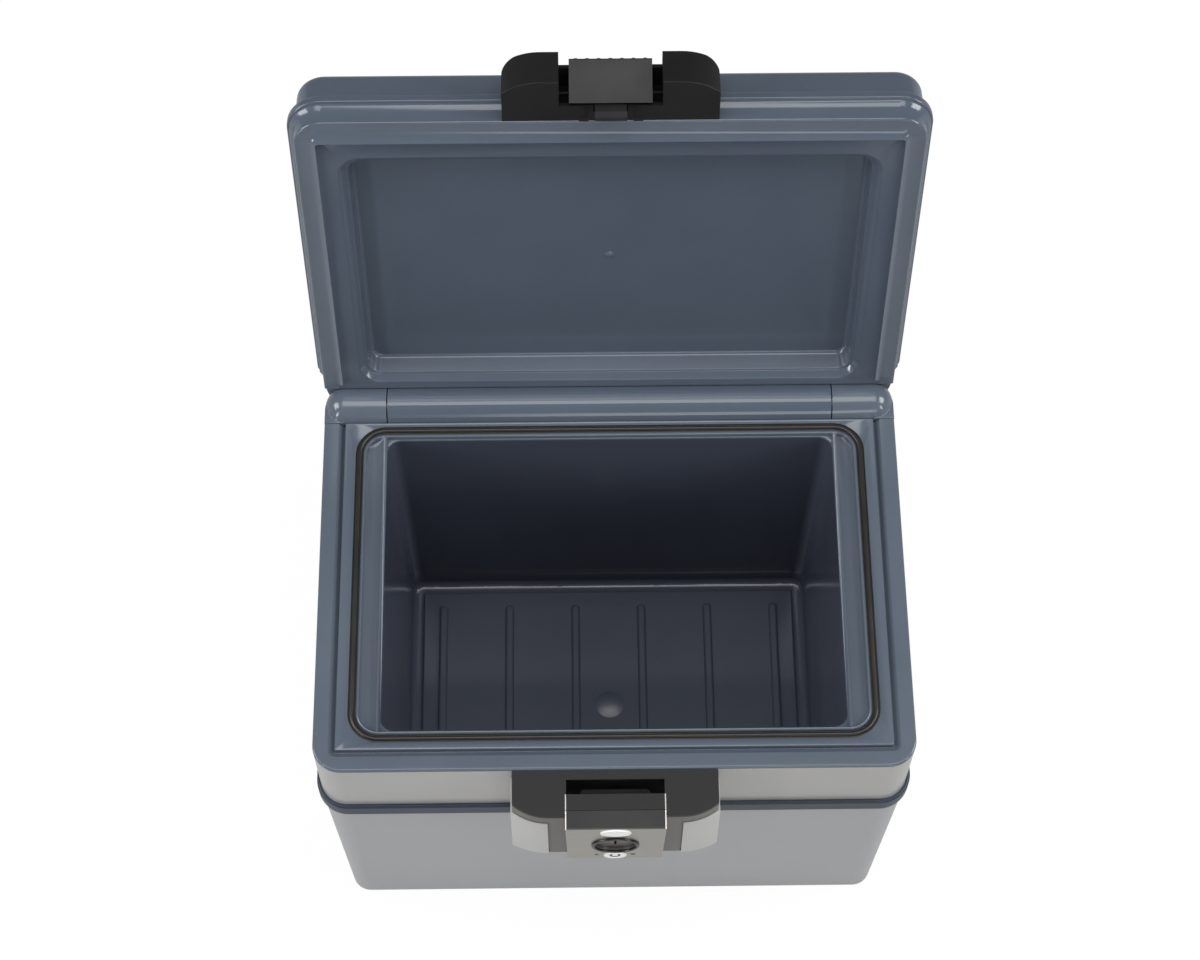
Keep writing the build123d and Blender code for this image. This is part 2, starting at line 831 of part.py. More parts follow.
def lid_lower_form():
    form = block(0, mate_z, mate_z + lid_flange_low)
    form = fillet(form.edges().group_by(Axis.Z)[0], rim_edge_round)
    return form + (lid_lip() - lid_flange_cut())


def lid_upper_form():
    top = block(0, mate_z + lid_flange_low, mate_z + lid_height)
    top = fillet(top.edges().group_by(Axis.Z)[-1], lid_top_round)
    flange = block(lid_flange_proud, mate_z + lid_flange_low, mate_z + lid_flange_top)
    flange = fillet(flange.edges().group_by(Axis.Z)[0], lid_flange_low_round)
    flange = fillet(flange.edges().group_by(Axis.Z)[-1], lid_flange_top_round)
    return top + (flange - lid_flange_cut())


def recess_section(inset, z):
    y0 = -rear + recess_front_inset + inset
    y1 = hinge_y - recess_back_from_hinge - inset
    return rectangle_at(rim_width / 2 - recess_side_inset - inset, y0, y1, recess_radius - inset, z)


def recess_form(grow):
    """The lid's stepped recess, or with a wall's thickness of growth the pan behind it."""
    step = mate_z + recess_step_depth + grow
    floor = mate_z + recess_depth + grow
    start = mate_z - 1 + min(grow, 1)
    mouth = loft([recess_section(-grow, start), recess_section(recess_step_inset - grow, step)])
    pan = loft([recess_section(recess_ledge_inset - grow, mate_z + grow),
                recess_section(recess_floor_inset - grow, floor)])
    pan = fillet(pan.edges().group_by(Axis.Z)[-1], recess_floor_round + grow / 2)
    return mouth + pan


def lid_core():
    """The space for the fill inside the lid."""
    core = block(-lid_wall, mate_z + lid_wall, mate_z + lid_height - lid_wall)
    core = fillet(core.edges().group_by(Axis.Z)[-1], lid_top_round - lid_wall)
    core &= across(lid_side(lid_wall, trough_radius + lid_wall), rim_width)
    return core - recess_form(lid_wall)


def barrel():
    """The lid's hinge barrel with the wall that joins it to the lid's back."""
    roll = rod_x(barrel_radius, -barrel_half_length, barrel_half_length, hinge_y, hinge_z)
    fill = box(-barrel_half_length, barrel_half_length, hinge_y, rear, hinge_z, mate_z + lid_wall)
    joint = box(-barrel_half_length, barrel_half_length, hinge_y - barrel_radius * 0.9, hinge_y,
                hinge_z, mate_z + lid_wall)
    return roll + fill + joint


def tongue():
    """The ridge round the lid that enters the body's groove. Its ends slope up to the lid."""
    low, y = mate_z - tongue_height, hinge_y - tongue_end
    ridge = groove_ring(-tongue_side_gap, low, mate_z + 0.5, rim_depth)
    ridge = fillet(ridge.edges().group_by(Axis.Z)[0], tongue_round)
    ends = side_profile([(y, mate_z + 1), (y, mate_z), (y - tongue_height - 1, low - 1),
                         (rim_depth, low - 1), (rim_depth, mate_z + 1)])
    return ridge - across(ends, rim_width)


def recess_flare():
    """Softens the recess's outer edge and the edge of its ledge."""
    step = mate_z + recess_step_depth
    mouth = loft([recess_section(-soft_edge, mate_z), recess_section(0, mate_z + soft_edge)])
    ledge = loft([recess_section(recess_ledge_inset - soft_edge, step),
                  recess_section(recess_ledge_inset, step + soft_edge)])
    return mouth + ledge


def recess_dome():
    """The small mark that moulding leaves in the middle of the recess's floor."""
    floor = mate_z + recess_depth
    ball = (dome_radius ** 2 + dome_height ** 2) / (2 * dome_height)
    middle_y = recess_section(0, floor).center().Y
    dome = Pos(0, middle_y, floor - dome_height + ball) * Sphere(ball)
    return dome & box(-dome_radius, dome_radius, -rear, rear, floor - dome_height - 1, floor + 1)


def make_lid_liner(core):
    """The lid's lower moulding: skirt, tongue, recess and hinge barrel."""
    shaped = lid_lower_form() & across(lid_side(0, trough_radius), rim_width)
    liner = shaped - core
    pan_height = mate_z + recess_depth + lid_wall
    liner += recess_form(lid_wall) & block(-lid_wall, mate_z, pan_height)
    liner += barrel()
    liner += tongue()
    liner -= recess_form(0) + recess_flare()
    liner += recess_dome()
    return liner - both_sides(hinge_pin(hinge_pin_gap))


def make_lid_shell(core):
    shaped = lid_upper_form() & across(lid_side(0, trough_radius), rim_width)
    shell = shaped - core - recess_form(lid_wall)
    return shell


def latch_zone(x_half, proud0, proud1, z0, z1):
    return box(-x_half, x_half, front(proud1), front(proud0), rim_height + z0, rim_height + z1)


def make_latch_housing():
    """The lid's front housing: two solid wings, and between them a slot for the lever."""
    z0, z1 = rim_height + latch_bottom, rim_height + latch_top
    form = straight_housing(0, z0, z1)
    tall = Plane.XZ * (Pos(0, (z0 + z1) / 2 - latch_corner_round) * RectangleRounded(
        2 * housing_half_width, z1 - z0 + 2 * latch_corner_round, latch_corner_round))
    form = form & extrude(tall, amount=rim_depth, both=True)
    lower_edge = form.edges().group_by(Axis.Z)[0].sort_by(Axis.Y)[:3]
    form = fillet(lower_edge, latch_edge_round)
    far = housing_front_proud + latch_top_wall
    form -= latch_zone(slot_half_width, latch_back_wall, far, latch_bottom + latch_skin,
                       latch_top - latch_skin)
    form -= latch_zone(slot_half_width, latch_strip, far, 0, latch_top - latch_skin)
    form -= latch_zone(slot_half_width, latch_top_wall, far, 0, latch_top + 1)
    notch = hook_half_width + hook_side_gap
    form -= latch_zone(notch, hook_back - hook_swing_gap, far, 0, latch_bottom + latch_skin + 1)
    form += both_sides(guide())
    form -= lid_blank()
    form -= rod_x(pivot_pin_radius, -slot_half_width - pivot_pin_in_wall,
                  slot_half_width + pivot_pin_in_wall, pivot_y, pivot_z)
    for x, z in latch_screw_spots():
        form -= rod_y(screw_radius, x, front(-8), front(screw_bite), z)
    return form


def guide():
    """A tongue below the strip that enters the body's slot. The lock's cam closes over its foot."""
    low, high = rim_height + guide_tip, rim_height + latch_bottom + 1
    stem = box(guide_inner, guide_inner + guide_stem_width, front(latch_strip), front(guide_back),
               low, high)
    foot = box(guide_inner, guide_outer, front(latch_strip), front(guide_back),
               low, low + guide_foot_height)
    return stem + foot


def lid_blank():
    """The lid's outside as one solid, to seat the latch housing on."""
    blank = block(0, mate_z, mate_z + lid_height) + lid_lip()
    return blank + block(lid_flange_proud, mate_z + lid_flange_low, mate_z + lid_flange_top)


def latch_screw_spots():
    x = (slot_half_width + housing_half_width) / 2
    return [(-x, mate_z + lid_flange_low + 9), (x, mate_z + lid_flange_low + 9)]


def latch_screw(x, z):
    """A screw from inside the lid's shell into a wing of the latch housing."""
    shaft = rod_y(screw_radius, x, front(-lid_wall - 0.1), front(screw_bite), z)
    head = rod_y(screw_head_radius, x, front(-lid_wall - screw_head_height), front(-lid_wall), z)
    recess = rod_y(screw_radius, x, front(-lid_wall - screw_head_height),
                   front(-lid_wall - screw_head_height + screw_recess_depth), z)
    return shaft + head - recess


def latch_point(proud, height):
    return (front(proud), rim_height + height)


def paddle_normal():
    """A unit vector, (proud, height), square to the paddle's face and pointing back into it."""
    run = paddle_high[0] - paddle_low[0]
    rise = paddle_high[1] - paddle_low[1]
    length = hypot(run, rise)
    return (-rise / length, run / length)


def make_lever():
    """The thumb lever: a ribbed paddle, a boss on the pin, and a hook that hangs below."""
    n = paddle_normal()
    low, high = paddle_low, paddle_high
    back_high = (high[0] + n[0] * paddle_thickness, high[1] + n[1] * paddle_thickness)
    dip = ((low[0] + high[0]) / 2 + n[0] * paddle_hollow, (low[1] + high[1]) / 2 + n[1] * paddle_hollow)
    edges = ThreePointArc(latch_point(*low), latch_point(*dip), latch_point(*high))
    edges += Line(latch_point(*high), latch_point(*back_high))
    edges += Line(latch_point(*back_high), latch_point(*paddle_heel))
    edges += Line(latch_point(*paddle_heel), latch_point(*paddle_root))
    edges += Line(latch_point(*paddle_root), latch_point(*low))
    paddle = across(Plane.YZ * make_face(edges), paddle_half_width)
    tip = paddle.edges().filter_by(Axis.X).group_by(Axis.Z)[-2:]
    paddle = fillet(tip[0] + tip[1], paddle_tip_round)
    lever = paddle + rod_x(lever_boss_radius, -paddle_half_width, paddle_half_width, pivot_y, pivot_z)
    lever -= lever_spring_room()
    lever += hook() + grip_ribs()
    return lever - rod_x(pivot_pin_radius + pivot_pin_gap, -paddle_half_width - 1,
                         paddle_half_width + 1, pivot_y, pivot_z)


def hook():
    """The flat hook below the lever. Its nose slopes so that it rides over the keeper as the lid shuts."""
    back, shank = hook_back, hook_back + hook_thickness
    tip = hook_tip
    points = [latch_point(back, pivot_height), latch_point(back, tip),
              latch_point(shank, tip), latch_point(shank + hook_nose, tip + hook_nose_height * 0.7),
              latch_point(shank + hook_nose, tip + hook_nose_height),
              latch_point(shank, tip + hook_nose_height), latch_point(shank, pivot_height)]
    return across(side_profile(points), hook_half_width)


def grip_ribs():
    """Ribs across the back of the paddle's free end, for the fingertip."""
    n = paddle_normal()
    along = (n[1], -n[0])
    start = (paddle_high[0] + n[0] * paddle_thickness, paddle_high[1] + n[1] * paddle_thickness)
    near = (start[0] + along[0] * grip_rib_over_tip, start[1] + along[1] * grip_rib_over_tip)
    far = (near[0] - along[0] * grip_rib_length, near[1] - along[1] * grip_rib_length)
    lift = grip_rib_proud
    points = [latch_point(near[0] - n[0], near[1] - n[1]),
              latch_point(near[0] + n[0] * lift, near[1] + n[1] * lift),
              latch_point(far[0] + n[0] * lift, far[1] + n[1] * lift),
              latch_point(far[0] - n[0], far[1] - n[1])]
    ribs = Part()
    for i in range(grip_rib_count):
        x = (i - (grip_rib_count - 1) / 2) * grip_rib_pitch
        ribs += Pos(x, 0, 0) * across(side_profile(points), grip_rib_width / 2)
    return ribs


def spring_radius():
    return pivot_pin_radius + spring_inner_gap + spring_wire / 2


def spring_centre_x():
    return hook_half_width + 4.0


def lever_spring_room():
    """The gap in the lever's boss where the spring sits round the pin, open to the back."""
    x = spring_centre_x()
    half = spring_half_length + spring_wire + spring_side_gap
    radius = spring_radius() + spring_wire / 2 + spring_room_gap
    room = rod_x(radius, x - half, x + half, pivot_y, pivot_z)
    return room + box(x - half, x + half, pivot_y, pivot_y + 3 * radius, pivot_z - radius, pivot_z + radius)


def make_spring():
    """A torsion spring on the pin, whose two legs run back to the housing's wall."""
    pitch = 2 * spring_half_length / spring_turns
    turns = Helix(pitch, 2 * spring_half_length, spring_radius())
    reach = pivot_proud - latch_back_wall
    first = Line(turns @ 0 - (turns % 0) * reach, turns @ 0)
    last = Line(turns @ 1, turns @ 1 + (turns % 1) * reach)
    wire = sweep(Plane(origin=first @ 0, z_dir=first % 0) * Circle(spring_wire / 2),
                 path=Wire([first, turns, last]))
    x0 = spring_centre_x() - spring_half_length
    spring = Pos(x0, pivot_y, pivot_z) * Rot(0, 90, 0) * Rot(0, 0, 180) * wire
    return spring & box(x0 - 5, x0 + 12, pivot_y - 6, front(latch_back_wall), pivot_z - 6, pivot_z + 6)


def make_pivot_pin():
    reach = slot_half_width + pivot_pin_in_wall
    return rod_x(pivot_pin_radius, -reach, reach, pivot_y, pivot_z)


def opened(part):
    """Swings a part of the shut lid open about the hinge."""
    there = Pos(0, hinge_y, hinge_z)
    return there * Rot(-open_angle, 0, 0) * Pos(0, -hinge_y, -hinge_z) * part


def joined(parts):
    return Compound(children=[solid for part in parts for solid in part.solids()])


def make_all():
    core = make_core()
    screws = [body_screw(x, z) for x, z in screw_spots()]
    lid_screws = [latch_screw(x, z) for x, z in latch_screw_spots()]
    deck = make_deck_liner(core)
    insulation = make_insulation(core)
    band = make_upper_band()
    for x, z in screw_spots():
        hole = rod_y(screw_radius, x, front(-20), front(screw_bite), rim_height + z)
        deck -= hole
        band -= hole
    for screw in screws:
        insulation -= screw
    space = lid_core()
    shell = make_lid_shell(space)
    for screw in lid_screws:
        shell -= screw
        space -= screw
    nodes = {
        "lower_tub": make_lower_tub(),
        "flange_collar": make_flange_collar(),
        "upper_band": band,
        "deck_liner": deck,
        "body_insulation": insulation,
        "rim_gasket": make_gasket(),
        "hinge_pins": joined([hinge_pin(), mirror(hinge_pin(), about=Plane.YZ)]),
        "lock_housing": make_lock_housing(),
        "lock_cover": make_lock_cover(),
        "lock_pads": make_pads(),
        "lock_screws": joined(screws),
        "lock_panel": make_lock_panel(),
        "panel_cover": make_panel_cover(),
        "keeper_plate": make_keeper(),
        "key_ring": make_ring(),
        "lock_barrel": make_lock_barrel(),
        "barrel_nut": make_barrel_nut(),
        "badge_plate": make_badge(),
        "lock_dot": make_dot(),
        "key_plug": make_key_plug(),
        "lock_cam": make_cam(),
        "cam_nut": make_cam_nut(),
    }
    lid_nodes = {
        "lid_shell": shell,
        "lid_liner": make_lid_liner(lid_core()),
        "lid_insulation": space,
        "latch_housing": make_latch_housing(),
        "latch_screws": joined(lid_screws),
        "latch_pin": make_pivot_pin(),
        "latch_spring": make_spring(),
        "latch_lever": make_lever(),
    }
    for name, part in lid_nodes.items():
        nodes[name] = opened(part)
    return nodes


def main():
    os.makedirs("parts", exist_ok=True)
    for name, part in make_all().items():
        export_step(part, f"parts/{name}.step")
        print(name, len(part.solids()), "solid(s)", round(part.volume / 1000, 1), "cm3")


main()
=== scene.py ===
# %% [markdown]
# A fire-resistant document chest, standing open. This notebook dresses an exact CAD model: every solid is
# already in its place, in metres, so most of the work here is the finish of each piece, the light and the
# camera. Only the two linings, the gasket and a few small marks get a shape of their own.

# %% Load the model
import json
from math import asin, cos, pi, radians, sin

import bmesh
import bpy
from mathutils import Matrix, Vector


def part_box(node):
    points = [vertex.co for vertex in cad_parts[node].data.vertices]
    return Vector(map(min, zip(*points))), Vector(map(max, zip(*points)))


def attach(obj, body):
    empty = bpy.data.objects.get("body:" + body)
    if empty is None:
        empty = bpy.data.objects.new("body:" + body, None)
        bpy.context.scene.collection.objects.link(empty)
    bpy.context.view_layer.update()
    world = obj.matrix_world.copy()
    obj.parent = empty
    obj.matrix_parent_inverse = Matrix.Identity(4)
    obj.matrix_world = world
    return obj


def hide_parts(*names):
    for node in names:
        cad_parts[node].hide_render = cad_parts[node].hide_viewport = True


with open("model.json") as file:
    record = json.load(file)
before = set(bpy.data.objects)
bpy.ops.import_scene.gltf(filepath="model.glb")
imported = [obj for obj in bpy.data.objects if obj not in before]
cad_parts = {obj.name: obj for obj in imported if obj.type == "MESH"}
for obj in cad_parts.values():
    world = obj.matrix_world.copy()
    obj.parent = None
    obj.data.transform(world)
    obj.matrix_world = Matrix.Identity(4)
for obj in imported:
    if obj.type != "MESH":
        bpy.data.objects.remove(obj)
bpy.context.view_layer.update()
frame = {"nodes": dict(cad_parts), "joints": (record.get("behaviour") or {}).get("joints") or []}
cad = frame["nodes"]

# %% [markdown]
# Colours are picked as sRGB hex values, the way a paint chart or an image editor gives them. Blender's
# shaders work in linear light, so one function turns a hex value into linear numbers. A second small
# function adds any shader or geometry node with its settings, its socket values and its links. A third
# starts a material or a world with an empty tree. They keep the recipes below short enough to read.

# %% Colour and node helpers
def linear(hex_colour, alpha=1.0):
    """An sRGB hex value as linear red, green, blue and alpha."""
    channels = [int(hex_colour[i:i + 2], 16) / 255 for i in (1, 3, 5)]
    bent = [c / 12.92 if c <= 0.04045 else ((c + 0.055) / 1.055) ** 2.4 for c in channels]
    return (*bent, alpha)


def add(tree, kind, values=None, links=None, **settings):
    """Adds a node, sets its own settings and its sockets' values, and links its inputs."""
    node = tree.nodes.new(kind)
    for name, value in settings.items():
        setattr(node, name, value)
    for socket, value in (values or {}).items():
        node.inputs[socket].default_value = value
    for socket, source in (links or {}).items():
        tree.links.new(source, node.inputs[socket])
    return node


def blank(collection, name):
    """A new material or world whose node tree is empty."""
    block = collection.new(name)
    block.use_nodes = True
    block.node_tree.nodes.clear()
    return block


print("slate blue in linear light:", [round(c, 3) for c in linear("#5b6673")])

# %% [markdown]
# Most of the chest is moulded or painted plastic. Such a surface is never one flat colour: the colour
# drifts a little over a hand's width, the gloss drifts with it, and the tool that made the mould leaves a
# fine grain. One recipe serves all of them. Two noises, sized in millimetres, drive the colour and the
# roughness, and a third, much finer one gives the grain as a bump. Object coordinates keep the pattern
# fixed to the piece at its real size from every side.

# %% The recipe for moulded and painted surfaces
SPECK_GRAINS = 6
SPECK_SHARE = 0.25


def moulded(name, light, dark, rough, grain_mm, grain_depth_mm, drift_mm=60.0, coat=0.0, metal=0.0,
            ior=1.5, coat_rough=0.12):
    """A surface whose colour and gloss drift slowly, with a fine grain."""
    material = blank(bpy.data.materials, name)
    tree = material.node_tree
    place = add(tree, "ShaderNodeTexCoord").outputs["Object"]
    drift = add(tree, "ShaderNodeTexNoise", {"Scale": 1000 / drift_mm, "Detail": 3.0, "Roughness": 0.55},
                {"Vector": place})
    speck = add(tree, "ShaderNodeTexNoise", {"Scale": 1000 / (grain_mm * SPECK_GRAINS), "Detail": 2.0},
                {"Vector": place})
    grain = add(tree, "ShaderNodeTexNoise", {"Scale": 1000 / grain_mm, "Detail": 2.0, "Roughness": 0.6},
                {"Vector": place})
    blend = add(tree, "ShaderNodeMath", {1: SPECK_SHARE}, {0: speck.outputs["Fac"]}, operation="MULTIPLY")
    both = add(tree, "ShaderNodeMath", {}, {0: drift.outputs["Fac"], 1: blend.outputs[0]}, operation="ADD")
    colour = add(tree, "ShaderNodeValToRGB", {}, {"Fac": both.outputs[0]})
    colour.color_ramp.elements[0].position = 0.38
    colour.color_ramp.elements[0].color = linear(dark)
    colour.color_ramp.elements[1].position = 0.88
    colour.color_ramp.elements[1].color = linear(light)
    gloss = add(tree, "ShaderNodeMapRange",
                {"From Min": 0.3, "From Max": 0.7, "To Min": rough * 0.9, "To Max": rough * 1.12},
                {"Value": drift.outputs["Fac"]})
    bump = add(tree, "ShaderNodeBump", {"Strength": 0.5, "Distance": grain_depth_mm / 1000},
               {"Height": grain.outputs["Fac"]})
    shader = add(tree, "ShaderNodeBsdfPrincipled",
                 {"Metallic": metal, "IOR": ior, "Coat Weight": coat, "Coat Roughness": coat_rough},
                 {"Base Color": colour.outputs["Color"], "Roughness": gloss.outputs["Result"],
                  "Normal": bump.outputs["Normal"]})
    add(tree, "ShaderNodeOutputMaterial", {}, {"Surface": shader.outputs["BSDF"]})
    return material


# %% [markdown]
# The rim, the pocket and the lid's lining are one slate-blue polypropylene, injection moulded against a
# polished tool. Polypropylene is a little waxy: it is glossy enough to show soft bright lines along every
# rounded edge, but those lines have blurred edges. A roughness under 0.2 with a faint grain gives that. The
# lid's lining gets a copy a little darker than the rim's: that is painted shade for its upright face. The
# flange is the same plastic with a duller face, and its much darker colour is painted shade.

# %% Slate-blue polypropylene
liner_plastic = moulded("moulded_polypropylene_slate", "#535c67", "#4e5762", rough=0.17, grain_mm=0.9,
                        grain_depth_mm=0.012, drift_mm=90)
# The lid's lining is a little darker than the rim: painted shade for its upright face.
lid_plastic_shaded = moulded("moulded_polypropylene_lid", "#4d5662", "#48515d", rough=0.15, grain_mm=0.9,
                      grain_depth_mm=0.012, drift_mm=90)
shell_plastic = moulded("moulded_polypropylene_shell", "#47505c", "#424b57", rough=0.20, grain_mm=0.9,
                        grain_depth_mm=0.015, drift_mm=120)
# The flange's much darker colour is painted shade; its duller finish and weaker reflection are its own.
flange_plastic_shaded = moulded("moulded_polypropylene_flange", "#2d3542", "#29313e", rough=0.34, grain_mm=0.9,
                         grain_depth_mm=0.015, drift_mm=120, ior=1.36)
print("blue finishes:", liner_plastic.name, shell_plastic.name, flange_plastic_shaded.name)

# %% [markdown]
# The pocket was moulded against a polished core, so its walls lack most of the fine grain of the rim.
# Its colour is also made darker than the rim's: that is painted shade, for the shade deep in the pocket.
# One mesh can carry two finishes when the shader knows where a point is: each limit below is an axis with
# the place where the second finish starts and the place where it is complete. For the pocket that is a
# height just under the ledge, softened over a millimetre.

# %% The pocket's polish and painted shade
# Sockets of a Mix node by its data type: its first value, its second value and its result
MIX_SOCKETS = {"RGBA": (6, 7, 2), "FLOAT": (2, 3, 0)}


def second_finish_and_shade(material, limits, colour, rough, grain):
    """Mixes a material towards another colour and finish where a point has passed every limit along its axis;
    the colour given here is a painted shade.
    """
    tree = material.node_tree
    nodes = {node.type: node for node in tree.nodes}
    shader, bump = nodes["BSDF_PRINCIPLED"], nodes["BUMP"]
    axes = add(tree, "ShaderNodeSeparateXYZ", {}, {"Vector": nodes["TEX_COORD"].outputs["Object"]})
    share = None
    for axis, start, end in limits:
        passed = add(tree, "ShaderNodeMapRange", {"From Min": start, "From Max": end},
                     {"Value": axes.outputs[axis]}).outputs["Result"]
        if share is not None:
            passed = add(tree, "ShaderNodeMath", {}, {0: share, 1: passed}, operation="MULTIPLY").outputs[0]
        share = passed
    for socket, kind, value in (("Base Color", "RGBA", linear(colour)), ("Roughness", "FLOAT", rough)):
        first, second, result = MIX_SOCKETS[kind]
        before = shader.inputs[socket].links[0].from_socket
        mix = add(tree, "ShaderNodeMix", {second: value}, {0: share, first: before}, data_type=kind)
        tree.links.new(mix.outputs[result], shader.inputs[socket])
    plain_grain = bump.inputs["Strength"].default_value
    strength = add(tree, "ShaderNodeMapRange", {"To Min": plain_grain, "To Max": grain}, {"Value": share})
    tree.links.new(strength.outputs["Result"], bump.inputs["Strength"])


BAND_TO_RIM = 0.0025
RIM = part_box("upper_band")[1][2] + BAND_TO_RIM
POLISH_AND_SHADE_TOP = RIM - 0.0048
POLISH_AND_SHADE_BLUR = 0.001
# Below the ledge the darker colour is painted shade; the lower roughness is the polish.
second_finish_and_shade(liner_plastic, [("Z", POLISH_AND_SHADE_TOP, POLISH_AND_SHADE_TOP - POLISH_AND_SHADE_BLUR)], "#414653", rough=0.15, grain=0.5)
print("rim at", round(RIM, 4), "m; polished below", round(POLISH_AND_SHADE_TOP, 4))

# %% [markdown]
# The band under the rim and the tub under the flange are painted in silver. Silver paint is metal flake
# in a clear binder: part of it acts as metal, part as grey paint, and a clear layer lies on top. A metallic
# value between the two and a fine, sparkling grain stand for the flake.

# %% Silver paint
band_paint = moulded("sprayed_silver_paint_band", "#a9a8a7", "#a1a09f", rough=0.32, grain_mm=0.6,
                     grain_depth_mm=0.01, drift_mm=140, coat=0.25, metal=0.35)
tub_paint = moulded("sprayed_silver_paint_tub", "#9fa0a2", "#97989a", rough=0.40, grain_mm=0.6,
                    grain_depth_mm=0.012, drift_mm=160, coat=0.2, metal=0.3)
cover_paint = moulded("sprayed_silver_paint_cover", "#62605c", "#5c5a56", rough=0.38, grain_mm=0.5,
                      grain_depth_mm=0.012, drift_mm=50, coat=0.15, metal=0.35)
pad_paint = moulded("sprayed_silver_paint_pads", "#b1b1ae", "#a9a9a6", rough=0.36, grain_mm=0.5,
                    grain_depth_mm=0.012, drift_mm=50, coat=0.2, metal=0.25)
print("silver finishes:", band_paint.name, tub_paint.name, cover_paint.name, pad_paint.name)

# %% [markdown]
# The two housings and the latch lever are black ABS from a spark-eroded mould, which leaves an even, dull
# grain. The grain scatters light, so the black reads as charcoal where light falls on it. The grain's tiny
# slopes also hide part of the mirror-like reflection, and an index of refraction under the usual 1.5
# stands for that.

# %% Black ABS
housing_abs = moulded("spark_grained_abs_black", "#18181a", "#141415", rough=0.46, grain_mm=0.7,
                      grain_depth_mm=0.03, drift_mm=40, ior=1.38)
latch_abs = moulded("spark_grained_abs_latch", "#121213", "#0e0e0f", rough=0.48, grain_mm=0.7,
                    grain_depth_mm=0.03, drift_mm=40, ior=1.36)
lever_abs = moulded("spark_grained_abs_lever", "#1c1c1e", "#18181a", rough=0.48, grain_mm=0.7,
                    grain_depth_mm=0.03, drift_mm=30, ior=1.40)
print("black finishes:", housing_abs.name, latch_abs.name, lever_abs.name)

# %% [markdown]
# The gasket is extruded black rubber. Rubber is dull with a soft sheen where light grazes it, from a
# bloom of wax and dust. The sheen socket is made for that.

# %% Gasket rubber
gasket_rubber = moulded("extruded_epdm_rubber", "#161411", "#0f0e0c", rough=0.36, grain_mm=0.8,
                        grain_depth_mm=0.02, drift_mm=25)
rubber_shader = next(n for n in gasket_rubber.node_tree.nodes if n.type == "BSDF_PRINCIPLED")
rubber_shader.inputs["Sheen Weight"].default_value = 0.15
rubber_shader.inputs["Sheen Roughness"].default_value = 0.4
print("gasket finish:", gasket_rubber.name)

# %% [markdown]
# The lock panel's skin is brushed nickel-coloured metal. Brushing draws fine scratches in one direction, so
# a noise is stretched fifty times along X and used as bump and colour. The same recipe in other colours
# and strengths serves the plated ring, the turned plug, the steel of the pins and screws, and, without
# the stretch, the cast zinc of the lock's barrel.

# %% The recipe for brushed and turned metal
ALONG_X = (0.02, 1.0, 1.0)
NO_STRETCH = (1.0, 1.0, 1.0)
GLOSS_DRIFT_MM = 25


def brushed(name, light, dark, rough, scratch_mm, stretch=ALONG_X, depth_mm=0.01):
    """Metal with fine scratches along one axis."""
    material = blank(bpy.data.materials, name)
    tree = material.node_tree
    place = add(tree, "ShaderNodeTexCoord").outputs["Object"]
    along = add(tree, "ShaderNodeMapping", {"Scale": stretch}, {"Vector": place})
    scratch = add(tree, "ShaderNodeTexNoise", {"Scale": 1000 / scratch_mm, "Detail": 3.0, "Roughness": 0.7},
                  {"Vector": along.outputs["Vector"]})
    drift = add(tree, "ShaderNodeTexNoise", {"Scale": 1000 / GLOSS_DRIFT_MM, "Detail": 2.0},
                {"Vector": place})
    colour = add(tree, "ShaderNodeValToRGB", {}, {"Fac": scratch.outputs["Fac"]})
    colour.color_ramp.elements[0].position = 0.3
    colour.color_ramp.elements[0].color = linear(dark)
    colour.color_ramp.elements[1].position = 0.7
    colour.color_ramp.elements[1].color = linear(light)
    gloss = add(tree, "ShaderNodeMapRange", {"To Min": rough * 0.85, "To Max": rough * 1.2},
                {"Value": drift.outputs["Fac"]})
    bump = add(tree, "ShaderNodeBump", {"Strength": 0.4, "Distance": depth_mm / 1000},
               {"Height": scratch.outputs["Fac"]})
    shader = add(tree, "ShaderNodeBsdfPrincipled", {"Metallic": 1.0},
                 {"Base Color": colour.outputs["Color"], "Roughness": gloss.outputs["Result"],
                  "Normal": bump.outputs["Normal"]})
    add(tree, "ShaderNodeOutputMaterial", {}, {"Surface": shader.outputs["BSDF"]})
    return material


panel_metal = brushed("brushed_nickel_plate", "#c3c0ba", "#b5b2ac", rough=0.42, scratch_mm=0.5)
ring_chrome = brushed("dark_chrome_plate", "#52514e", "#474643", rough=0.20, scratch_mm=0.6, depth_mm=0.003)
plug_metal = brushed("turned_plug_face", "#807c75", "#736f68", rough=0.34, scratch_mm=0.5, depth_mm=0.006)
plain_steel = brushed("turned_carbon_steel", "#b3b3b2", "#9f9f9f", rough=0.32, scratch_mm=0.5)
black_oxide = brushed("blackened_steel", "#1f1f20", "#161617", rough=0.42, scratch_mm=0.6)
zinc_casting = brushed("die_cast_zinc", "#8f9092", "#7f8082", rough=0.45, scratch_mm=1.2, stretch=NO_STRETCH,
                       depth_mm=0.03)
print("metals:", ", ".join(m.name for m in (panel_metal, ring_chrome, plug_metal, plain_steel, zinc_casting)))

# %% [markdown]
# The skin is sheet metal, and its cut edge runs along the top of the front. That edge is made a dark, dull
# grey: painted shade, which keeps the lamps' bright line off it. Only a strip of the skin's own thickness
# takes this finish, between its sides.

# %% The skin's cut edge and its painted shade
EDGE_Z, SKIN_HALF_X, EDGE_BLUR = 0.27375, 0.0325, 0.0001
shaded_edge_limits = [("Z", EDGE_Z, EDGE_Z + EDGE_BLUR),
               ("X", -SKIN_HALF_X, EDGE_BLUR - SKIN_HALF_X),
               ("X", SKIN_HALF_X, SKIN_HALF_X - EDGE_BLUR)]
# The edge's dark grey is painted shade.
second_finish_and_shade(panel_metal, shaded_edge_limits, "#4a4a49", rough=0.5, grain=0.2)
print("cut edge above", EDGE_Z, "m")

